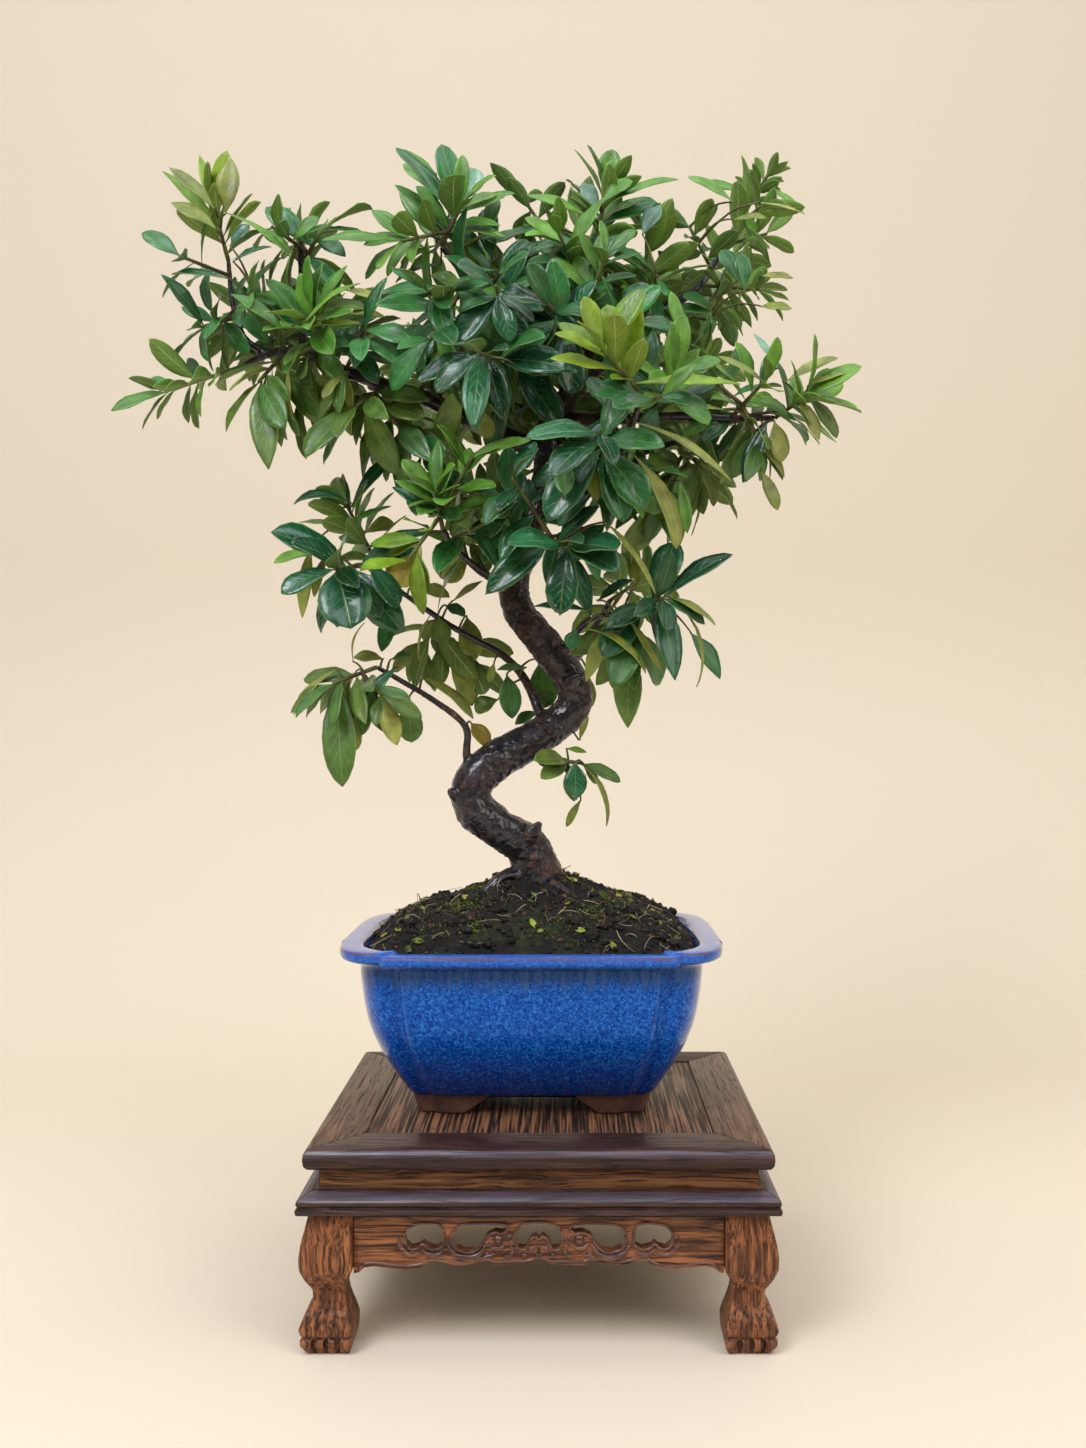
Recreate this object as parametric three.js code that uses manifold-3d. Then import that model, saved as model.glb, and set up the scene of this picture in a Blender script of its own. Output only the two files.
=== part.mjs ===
// A firethorn grown as a bonsai in a glazed pot, which stands on a carved wooden stand.
// Millimetres, +Z up. The stand's front faces -Y and its middle is on the Z axis.

import * as THREE from 'three';
import { mergeVertices } from 'three/addons/utils/BufferGeometryUtils.js';
import Module from 'manifold-3d';

const wasm = await Module();
wasm.setup();

// Driving dimensions
const gap = 0.3;                    // between two pieces that touch
const leastEdge = 0.03;             // shorter edges are closed up
const stand = {
  halfX: 113, halfY: 95,            // top frame, to the middle of its bull nose
  legTop: 67,
  railWidth: 26.5,
  panelBottom: 91.5, panelTop: 97.4,
  apronBottom: 38, apronThick: 7, apronSetBack: 3,
};
const pot = { x: -5, base: stand.panelTop + gap, halfX: 100, halfY: 75, height: 90, floor: 16 };
const blade = { stalkKeel: 1.5, keel: 1.1, small: 28, large: 42 };   // thickness at the midrib, and leaf lengths
const stemRadius = [1.15, 0.85];    // of a leafy shoot, at its foot and at its tip
const clear = { otherSpray: 3.3, sameSpray: 1.9, wood: 1.6 };   // least distance from a leaf's sample points

const colours = {
  frame: ['#3a2320', 0.38], panel: ['#5b3d28', 0.5], moulding: ['#33211f', 0.38],
  carved: ['#6b432b', 0.5], glaze: ['#1c4fb0', 0.18], mesh: ['#3b3d3c', 0.6], soil: ['#1c1611', 0.95],
  bark: ['#33221d', 0.45], young: ['#6fa834', 0.42], bright: ['#3f8b36', 0.38], dark: ['#1e5a37', 0.35],
  wet: ['#1a5538', 0.22], hang: ['#6d8a3c', 0.5],
};

const bonsai = new THREE.Group();
const vec = (x, y, z) => new THREE.Vector3(x, y, z);
const lerp = THREE.MathUtils.lerp;
const degrees = THREE.MathUtils.degToRad;

// Solids

// A closed solid from one BufferGeometry, however its vertices are shared.
function solidOf(geometry) {
  const bare = geometry.clone();
  bare.deleteAttribute('normal');
  bare.deleteAttribute('uv');
  const merged = mergeVertices(bare, 1e-4);
  return new wasm.Manifold(new wasm.Mesh({
    numProp: 3,
    vertProperties: Float32Array.from(merged.attributes.position.array),
    triVerts: Uint32Array.from(merged.index.array),
  }));
}

function geometryOf(solid) {
  const mesh = solid.getMesh();
  const geometry = new THREE.BufferGeometry();
  geometry.setAttribute('position', new THREE.BufferAttribute(mesh.vertProperties, 3));
  geometry.setIndex(new THREE.BufferAttribute(mesh.triVerts, 1));
  geometry.computeVertexNormals();
  return geometry;
}

function place(name, solid, [colour, roughness]) {
  const material = new THREE.MeshStandardMaterial({ color: colour, roughness, metalness: 0 });
  const mesh = new THREE.Mesh(geometryOf(solid.asOriginal().simplify(leastEdge)), material);
  mesh.name = name;
  bonsai.add(mesh);
}

const union = (solids) => wasm.Manifold.union(solids);
const boxOf = (solid) => new THREE.Box3(vec(...solid.boundingBox().min), vec(...solid.boundingBox().max));
const largest = (solid) => solid.decompose().sort((a, b) => b.volume() - a.volume())[0];

// A solid of triangles that all face one way, turned outwards.
function closed(points, faces) {
  const volume = faces.reduce((sum, [a, b, c]) => sum + points[a].dot(points[b].clone().cross(points[c])), 0);
  const geometry = new THREE.BufferGeometry().setFromPoints(points);
  geometry.setIndex(faces.flatMap(([a, b, c]) => (volume > 0 ? [a, b, c] : [a, c, b])));
  return solidOf(geometry);
}

// A solid through rings of equal count. The first and last ring are closed by the triangles of the flat
// outline, which is the ring's own shape in two dimensions.
function loft(rings, outline) {
  const count = rings[0].length;
  const faces = [];
  for (let i = 0; i + 1 < rings.length; i++) {
    for (let j = 0; j < count; j++) {
      const [a, b] = [i * count + j, i * count + (j + 1) % count];
      faces.push([a, b, b + count], [a, b + count, a + count]);
    }
  }
  const last = (rings.length - 1) * count;
  const { area, triangulateShape } = THREE.ShapeUtils;
  for (const face of triangulateShape(outline, [])) {
    const alike = area(face.map((k) => outline[k])) * area(outline) > 0;
    const [a, b, c] = alike ? face : face.slice().reverse();
    faces.push([a, c, b], [last + a, last + b, last + c]);
  }
  return closed(rings.flat(), faces);
}

// A flat shape in X and Z, pushed from front to back along Y.
function slab(shape, front, back, curveSegments = 5) {
  const geometry = new THREE.ExtrudeGeometry(shape, { depth: back - front, bevelEnabled: false, curveSegments });
  return solidOf(geometry.rotateX(Math.PI / 2).translate(0, back, 0));
}

function block(low, high) {
  const size = high.map((value, i) => value - low[i]);
  const middle = high.map((value, i) => (value + low[i]) / 2);
  return solidOf(new THREE.BoxGeometry(...size).translate(...middle));
}

// Stand: the four sides are numbered from the front, anticlockwise from above

const sideNames = ['front', 'right', 'back', 'left'];
const turned = (solid, side) => solid.rotate([0, 0, 90 * side]);
const reach = (side) => (side % 2 ? [stand.halfY, stand.halfX] : [stand.halfX, stand.halfY]);

// One mitred length that follows a profile of [inset, z] points along one side.
function mitredLength(profile, side) {
  const [half, out] = reach(side);
  const mitreGap = gap / 2 * Math.SQRT2;
  const ends = [-1, 1].map((end) => profile.map(([inset, z]) => (
    vec(end * (half - inset - mitreGap), -(out - inset), z))));
  return turned(loft(ends, profile.map(([inset, z]) => new THREE.Vector2(inset, z))), side);
}

const railProfile = [
  [4, 98], [1.6, 97.3], [0.3, 95.4], [0, 92.5], [0.4, 89.6], [1.6, 87.9], [3.5, 87.5],
  [31, 87.5], [31, stand.panelBottom - gap], [stand.railWidth, stand.panelBottom - gap], [stand.railWidth, 98],
];
const mouldingProfile = [
  [7, 87.2], [7, 78.2], [5, 77.8], [1.5, 76.6], [-1.3, 75.2], [-2.5, 73.6], [-2.5, 72], [-1.6, 71], [-1.6, 70.6],
  [-2.8, 70], [-2.9, 68.6], [-2.4, stand.legTop + gap], [20, stand.legTop + gap], [20, 87.2],
];

// Carved apron: the lower edge rises in scrolls to a point in the middle. Both lists hold the right half.
const apronFront = {
  halfLength: 89 - gap,
  edge: [[4, 42.6], [12.7, 42.1], [21.3, 41.8], [26.3, 44], [33.3, 42.2], [40, 41.8], [48.6, 44], [51, 44],
    [56.2, 40.9], [63.9, 39.7], [79, 41.3], [83.5, 40.7], [86.4, 38.3]],
  middle: 45.6,
};
const apronSide = {
  halfLength: 71 - gap,
  edge: [[4, 42.6], [12.7, 42.1], [21.3, 41.8], [26.3, 44], [33, 43.2], [38, 40.9], [46, 39.7], [61, 41.3],
    [65.5, 40.7], [68.4, 38.3]],
  middle: 45.6,
};

function apronOutline({ halfLength, edge, middle }) {
  const right = [...edge, [halfLength, stand.apronBottom], [halfLength, stand.legTop]];
  const left = right.map(([x, z]) => [-x, z]).reverse();
  return new THREE.Shape([...left, [0, middle], ...right].map(([x, z]) => new THREE.Vector2(x, z)));
}

// The middle opening has a bat-shaped rise in its lower edge.
const middleOpening = [
  [-11.6, 53], [-9.8, 49.6], [-6.6, 49.3], [-4.6, 53.4], [-1.8, 55.5], [0, 54], [1.8, 55.5], [4.6, 53.4],
  [6.6, 49.3], [9.8, 49.6], [11.6, 53], [10.8, 58.5], [7, 61.8], [-7, 61.8], [-10.8, 58.5],
];
// Next to it a tall round end runs into a shallow one, over a flower that rises from below.
const scrollOpening = [
  [-15, 58.6], [-17.5, 56.9], [-21, 57.4], [-25, 55.4], [-27.4, 51.6], [-31, 48.2], [-35.5, 47.9],
  [-39.6, 49.6], [-41.9, 53.2], [-41, 57.6], [-38, 60.8], [-33, 61.8], [-19, 61.8], [-15.8, 61],
];
// The outer opening is round at its outer end, with a small rise in its lower edge.
const outerOpening = [
  [-46, 51], [-49.5, 49.3], [-53.6, 50.2], [-55.6, 52], [-57.4, 50.4], [-60.8, 49.4], [-63.6, 51.8],
  [-64.5, 55.6], [-62.6, 59.4], [-58.6, 61.5], [-48, 61.5], [-46, 59.4],
];
const mirrored = (points) => points.map(([x, z]) => [-x, z]).reverse();

function apron(side) {
  const lengthwise = side % 2 === 0;
  const outline = apronOutline(lengthwise ? apronFront : apronSide);
  const openings = [middleOpening, scrollOpening, mirrored(scrollOpening)];
  if (lengthwise) openings.push(outerOpening, mirrored(outerOpening));
  outline.holes = openings.map((points) => new THREE.Path(points.map(([x, z]) => new THREE.Vector2(x, z))));
  const front = -(reach(side)[1] - stand.apronSetBack);
  return turned(slab(outline, front, front + stand.apronThick), side);
}

// Bowed leg with a paw: [z, outer face, inner face], both as X. The Y faces are the same, set in by 18.
const legStations = [
  [67, 110.4, 89], [60, 112, 89], [52, 114, 89], [45, 114.8, 89], [40, 114.4, 89], [35, 112.4, 92], [29, 109, 93.3],
  [25, 108.8, 92.7], [21, 110.5, 91.6], [17, 112.8, 90.3], [12, 114.7, 88.9], [9, 114, 88.9], [8, 113, 88.9],
  [7, 114.2, 89], [4, 114, 89.2], [0, 111.3, 90.5],
];
const legSetIn = stand.halfX - stand.halfY;
const legChamfer = 1.6;
// V grooves between the toes: shares of the way across a face, radius and middle of their wedges, and height
const toes = { across: [89, 114], shares: [0.27, 0.5, 0.73], radius: 3.2, middle: 115.3, height: 7.2 };

function leg(signX, signY) {
  const ring = ([z, outer, inner]) => [
    [inner, inner], [outer, inner], [outer, outer - legChamfer], [outer - legChamfer, outer], [inner, outer],
  ].map(([x, y]) => vec(signX * x, signY * (y - legSetIn), z));
  const body = loft(legStations.map(ring), ring(legStations[0]).map((p) => new THREE.Vector2(p.x, p.y)));
  const toeGrooves = [];
  const groove = (x, y, turn) => {
    const wedge = new THREE.CylinderGeometry(toes.radius, toes.radius, toes.height, 3).rotateX(Math.PI / 2);
    return solidOf(wedge.rotateZ(turn).translate(x, y, toes.height / 2));
  };
  for (const share of toes.shares) {
    const across = lerp(...toes.across, share);
    toeGrooves.push(groove(signX * across, signY * (toes.middle - legSetIn), signY < 0 ? Math.PI : 0));
    toeGrooves.push(groove(signX * toes.middle, signY * (across - legSetIn), -signX * Math.PI / 2));
  }
  return body.subtract(union(toeGrooves));
}

sideNames.forEach((name, side) => {
  place(`stand_rail_${name}`, mitredLength(railProfile, side), colours.frame);
  place(`stand_moulding_${name}`, mitredLength(mouldingProfile, side), colours.moulding);
  place(`stand_apron_${name}`, apron(side), colours.carved);
});
const panelHalf = [stand.halfX - stand.railWidth - gap, stand.halfY - stand.railWidth - gap];
place('stand_panel', block(
  [-panelHalf[0], -panelHalf[1], stand.panelBottom], [panelHalf[0], panelHalf[1], stand.panelTop],
), colours.panel);
for (const [name, x, y] of [['front_left', -1, -1], ['front_right', 1, -1], ['back_left', -1, 1], ['back_right', 1, 1]]) {
  place(`stand_leg_${name}`, leg(x, y), colours.carved);
}

// Pot: a rounded rectangle whose four flats stand a little proud of the rounded corners

const cornerSteps = 3;
const cornerShort = 0.68;            // a corner's reach along X, as a share of its reach along Y

function potRing(inset, z, corner, proud) {
  const [halfX, halfY] = [pot.halfX - inset, pot.halfY - inset];
  const points = [];
  for (let quarter = 0; quarter < 4; quarter++) {
    const signX = quarter === 0 || quarter === 3 ? 1 : -1;
    const signY = quarter < 2 ? 1 : -1;
    const [cx, cy] = [signX * (halfX - proud - corner * cornerShort), signY * (halfY - proud - corner)];
    const arc = [];
    for (let i = 0; i <= cornerSteps; i++) {
      const angle = (quarter + i / cornerSteps) * Math.PI / 2;
      arc.push([cx + corner * cornerShort * Math.cos(angle), cy + corner * Math.sin(angle)]);
    }
    const sideFlat = [signX * halfX, cy - signY * proud * 0.6];
    const longFlat = [cx - signX * proud * 0.6, signY * halfY];
    points.push(...(quarter % 2 ? [longFlat, ...arc, sideFlat] : [sideFlat, ...arc, longFlat]));
  }
  return points.map(([x, y]) => vec(pot.x + x, y, pot.base + z));
}

// Each station: height above the base, inset from the rim, corner's reach, how far the flats stand proud
const potOuter = [
  [0, 39, 14, 1], [10.5, 36, 16, 1], [11.5, 33.8, 17, 1.4], [17, 29.5, 20, 2], [26, 23.5, 24, 2.6], [36, 18, 28, 2.8],
  [47, 13.6, 31, 2.8], [60, 10.8, 33, 2.8], [74, 9.4, 34, 2.6], [82, 9, 35, 2.4], [84, 2, 38, 2.2], [85, 0.3, 39, 2.2],
  [88.5, 0, 39, 2.2], [90, 1.4, 38, 2.2],
];
const potInner = [
  [89.6, 11.5, 33, 1], [87, 13.2, 32, 0.8], [58, 17, 30, 0.6], [28, 28, 23, 0.4], [16, 38, 16, 0.4],
];

// Openings between the feet: half width where they end above and at the base, and the bare room inside them
const potFeet = { height: 9.5, front: [22, 35], side: [9, 15], insideX: 48, insideY: 22 };
const drains = { places: [-30, 30], radius: 6, segments: 12 };

function potBody() {
  const rings = [...potOuter, ...potInner].map(([z, inset, corner, proud]) => potRing(inset, z, corner, proud));
  const body = loft(rings, rings[0].map((p) => new THREE.Vector2(p.x, p.y)));
  const below = -5;
  const [x, z] = [pot.x, pot.base];
  const { insideX, insideY, height: footHeight } = potFeet;
  // What is cut from below leaves four feet, each an L round its corner
  const cuts = [block([x - insideX, -insideY, z + below], [x + insideX, insideY, z + footHeight])];
  const opening = ([top, foot]) => new THREE.Shape([
    new THREE.Vector2(-foot, below), new THREE.Vector2(foot, below), new THREE.Vector2(foot, 0),
    new THREE.Vector2(top, footHeight), new THREE.Vector2(-top, footHeight), new THREE.Vector2(-foot, 0),
  ]);
  cuts.push(slab(opening(potFeet.front), -pot.halfX, pot.halfX).translate([x, 0, z]));
  cuts.push(slab(opening(potFeet.side), -pot.halfX, pot.halfX).rotate([0, 0, 90]).translate([x, 0, z]));
  for (const hole of drains.places) {
    const bore = new THREE.CylinderGeometry(drains.radius, drains.radius, 2 * pot.floor, drains.segments);
    cuts.push(solidOf(bore.rotateX(Math.PI / 2)).translate([x + hole, 0, z + pot.floor]));
  }
  return body.subtract(union(cuts));
}

const screen = { half: 12, thick: 1.2, pitch: 10, opening: 7.5 };

function drainScreen(x) {
  const { half, thick, pitch, opening } = screen;
  const bottom = pot.base + pot.floor + gap;
  const holes = [];
  for (const i of [-0.5, 0.5]) {
    for (const j of [-0.5, 0.5]) {
      const [cx, cy, r] = [x + i * pitch, j * pitch, opening / 2];
      holes.push(block([cx - r, cy - r, bottom - 1], [cx + r, cy + r, bottom + thick + 1]));
    }
  }
  return block([x - half, -half, bottom], [x + half, half, bottom + thick]).subtract(union(holes));
}

place('pot', potBody(), colours.glaze);
drains.places.forEach((x, i) => {
  place(`drain_screen_${['left', 'right'][i]}`, drainScreen(pot.x + x), colours.mesh);
});

// Trunk, roots and limbs: stations of [x, y, z, radius]

const trunk = [
  [-1, 0, 202, 15], [-2, 0, 213, 15.5], [-4, 0, 222, 13.5], [-10, -2, 235, 11.5], [-25, -6, 245, 11],
  [-37, -8, 256, 11.3], [-38, -8, 268, 11.2], [-28, -5, 279, 11], [-13, 0, 288, 10.5], [5, 5, 299, 10],
  [17, 6, 311, 9.6], [17, 5, 322, 9.6], [9, 2, 335, 9.5], [-2, 0, 349, 9.2], [-13, 0, 363, 8.8], [-16, 2, 378, 8.4],
  [-11, 5, 396, 8], [-4, 6, 417, 7.6], [1, 5, 437, 7.2], [4, 3, 458, 6.8], [11, 0, 476, 6.2], [21, -4, 493, 5.5],
  [27, -6, 513, 4.6], [29, -4, 535, 3.8], [26, 0, 553, 2.6],
];
const limbs = {
  rootLeft: [[-8, -4, 220, 5], [-21, -9, 219, 2.8], [-31, -14, 210, 2.2], [-38, -18, 203, 1.5]],
  rootFront: [[0, -6, 214, 6.5], [8, -17, 208, 3.8], [17, -29, 200, 2]],
  rootRight: [[6, 2, 215, 6.5], [19, 6, 209, 3.8], [32, 12, 200, 2]],
  rootBack: [[-6, 6, 214, 6.5], [-14, 18, 208, 3.8], [-24, 31, 200, 2]],
  left: [[2, 3, 451, 5.8], [-21, 0, 459, 5.6], [-46, -6, 470, 5], [-67, -10, 479, 4.4], [-88, -12, 485, 3.8],
    [-108, -14, 492, 3.3], [-125, -14, 501, 2.8], [-144, -12, 502, 2.2], [-162, -10, 495, 1.8]],
  leftStub: [[-129, -14, 501, 2.2], [-129, -16, 529, 1.9], [-129, -18, 560, 1.7]],
  leftRiser: [[-147, -12, 500, 2.2], [-162, -8, 511, 1.9], [-169, -6, 532, 1.7], [-171, -6, 553, 1.4]],
  crownLeft: [[5, 2, 466, 4.2], [-7, -6, 494, 3.6], [-20, -14, 517, 3], [-34, -20, 533, 2.6], [-46, -24, 546, 2.2],
    [-53, -26, 554, 1.8]],
  crownRight: [[12, 0, 480, 4.2], [43, 20, 512, 3.6], [70, 30, 538, 3], [90, 35, 554, 2.6], [103, 38, 576, 2.1],
    [115, 38, 595, 1.8]],
  right: [[7, 0, 468, 4], [31, -5, 467, 3.6], [53, -10, 467, 3], [75, -14, 467, 2.6], [101, -16, 465, 2.1],
    [125, -18, 465, 1.6]],
  back: [[4, 3, 458, 4.4], [-2, 32, 480, 3.8], [0, 58, 508, 3], [3, 76, 534, 2]],
  backLeft: [[-2, 30, 478, 3.2], [-30, 50, 494, 2.8], [-60, 66, 508, 2]],
  backRight: [[-1, 36, 485, 3.2], [36, 54, 497, 2.8], [72, 68, 508, 2]],
  lowerLeft: [[-38, -8, 264, 3.4], [-41, -10, 284, 2.3], [-41, -14, 299, 2.1], [-60, -20, 315, 1.8],
    [-73, -24, 323, 1.6], [-87, -28, 331, 1.4]],
  middleLeft: [[1, 5, 300, 3.4], [-7, 10, 320, 2.6], [-13, 12, 330, 2.4], [-23, 12, 340, 2.2], [-47, 8, 353, 1.9],
    [-77, 0, 373, 1.6], [-96, -8, 387, 1.3]],
  upperLeft: [[-16, 0, 375, 3.2], [-28, -14, 380, 2.6], [-36, -24, 385, 2.2], [-46, -34, 394, 1.8],
    [-51, -40, 402, 1.5]],
  lowerRight: [[10, 0, 336, 3.4], [19, -14, 351, 2.2], [29, -24, 358, 1.9], [47, -32, 359, 1.5]],
  lowTwig: [[-4, 0, 292, 2.4], [0, -4, 279, 1.7], [11, -10, 281, 1.3]],
  lowBack: [[14, 4, 330, 3.4], [25, 30, 349, 2.4], [39, 52, 374, 1.8]],
  middleBack: [[-2, 4, 412, 3.6], [-16, 30, 424, 2.4], [-34, 52, 438, 1.8]],
  frontRight: [[-4, 6, 417, 3.8], [16, -24, 424, 2.8], [31, -52, 429, 2.2], [41, -66, 437, 1.9], [46, -76, 449, 1.7],
    [50, -80, 462, 1.5]],
  rightFan: [[1, 5, 437, 3.8], [32, 12, 444, 3], [57, 20, 455, 2.4], [75, 24, 461, 1.9]],
  frontLow: [[-11, 5, 396, 3.8], [-5, -22, 396, 2.2], [2, -46, 398, 1.6]],
};

const curveOf = (stations) => (
  new THREE.CatmullRomCurve3(stations.map(([x, y, z]) => vec(x, y, z)), false, 'centripetal'));

// Middle and radius of each of a bar's rings, at even steps along its curve.
function ringPlaces(stations, steps) {
  const curve = curveOf(stations);
  return Array.from({ length: steps + 1 }, (_, i) => {
    const along = curve.getUtoTmapping(i / steps) * (stations.length - 1);
    const k = Math.min(Math.floor(along), stations.length - 2);
    return { middle: curve.getPointAt(i / steps), radius: lerp(stations[k][3], stations[k + 1][3], along - k) };
  });
}

// Rings of a round bar along its stations. The last argument thickens it all round.
function barRings(stations, sides, steps, extra = 0) {
  const frames = curveOf(stations).computeFrenetFrames(steps);
  return ringPlaces(stations, steps).map(({ middle, radius }, i) => {
    const end = (i === 0 ? -extra : 0) + (i === steps ? extra : 0);
    middle.addScaledVector(frames.tangents[i], end);
    return Array.from({ length: sides }, (_, j) => middle.clone()
      .addScaledVector(frames.normals[i], (radius + extra) * Math.cos(2 * Math.PI * j / sides))
      .addScaledVector(frames.binormals[i], (radius + extra) * Math.sin(2 * Math.PI * j / sides)));
  });
}

function bar(rings) {
  const sides = rings[0].length;
  return loft(rings, rings[0].map((_, j) => new THREE.Vector2(
    Math.cos(2 * Math.PI * j / sides), Math.sin(2 * Math.PI * j / sides))));
}

// Stations, number of sides and number of steps of every bar of the tree
const thickLimb = 5;
const treeBars = [[trunk, 9, 30], ...Object.values(limbs).map((stations) => (
  [stations, stations[0][3] > thickLimb ? 6 : 4, stations.length - 1]))];
const wholeTree = (extra) => union(treeBars.map((item) => bar(barRings(...item, extra))));
const tree = wholeTree(0);
const woodRoom = wholeTree(gap + 0.1);   // what a neighbour leaves free for the wood
place('trunk', tree, colours.bark);

// Soil: fills the pot above the screens and is mounded up to the trunk. Each station of the mound has its share
// of the way from the rim to the trunk, and its height.
const soilMound = [[0.03, 187], [0.1, 194], [0.24, 200.5], [0.5, 207], [0.7, 214], [0.84, 220]];

// The soil's outline at a height, just inside the pot's wall.
function soilRing(z) {
  const k = potInner.findIndex(([height]) => height <= z);
  const [above, below] = [potInner[k - 1], potInner[k]];
  const [inset, corner, proud] = [1, 2, 3].map((i) => lerp(below[i], above[i], (z - below[0]) / (above[0] - below[0])));
  return potRing(inset + gap + 0.1, z, corner, proud);
}

function soilBody() {
  const rings = [pot.floor + 2 * gap + screen.thick, 28, 58, 85.5].map(soilRing);
  const edge = potRing(14, 0, 32, 0.8);
  rings.push(...soilMound.map(([inward, z]) => edge.map((p) => (
    vec(lerp(p.x, trunk[1][0], inward), lerp(p.y, trunk[1][1], inward), z)))));
  return loft(rings, rings[0].map((p) => new THREE.Vector2(p.x, p.y)));
}

place('soil', largest(soilBody().subtract(woodRoom)), colours.soil);

// Leafy shoots

// How the leaves of each habit stand: angle from the shoot at its foot and at its tip, how much they lean up
// or down, how far the blade bends in degrees, and the width of a blade one millimetre long.
const habits = {
  young: { sweep: [62, 26], lean: 0.3, bend: 14, slim: 0.36 },
  bright: { sweep: [74, 36], lean: 0.12, bend: 20, slim: 0.38 },
  dark: { sweep: [80, 46], lean: -0.12, bend: 28, slim: 0.4 },
  wet: { sweep: [82, 48], lean: -0.5, bend: 30, slim: 0.46 },
  hang: { sweep: [86, 55], lean: -0.8, bend: 24, slim: 0.4 },
};

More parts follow.
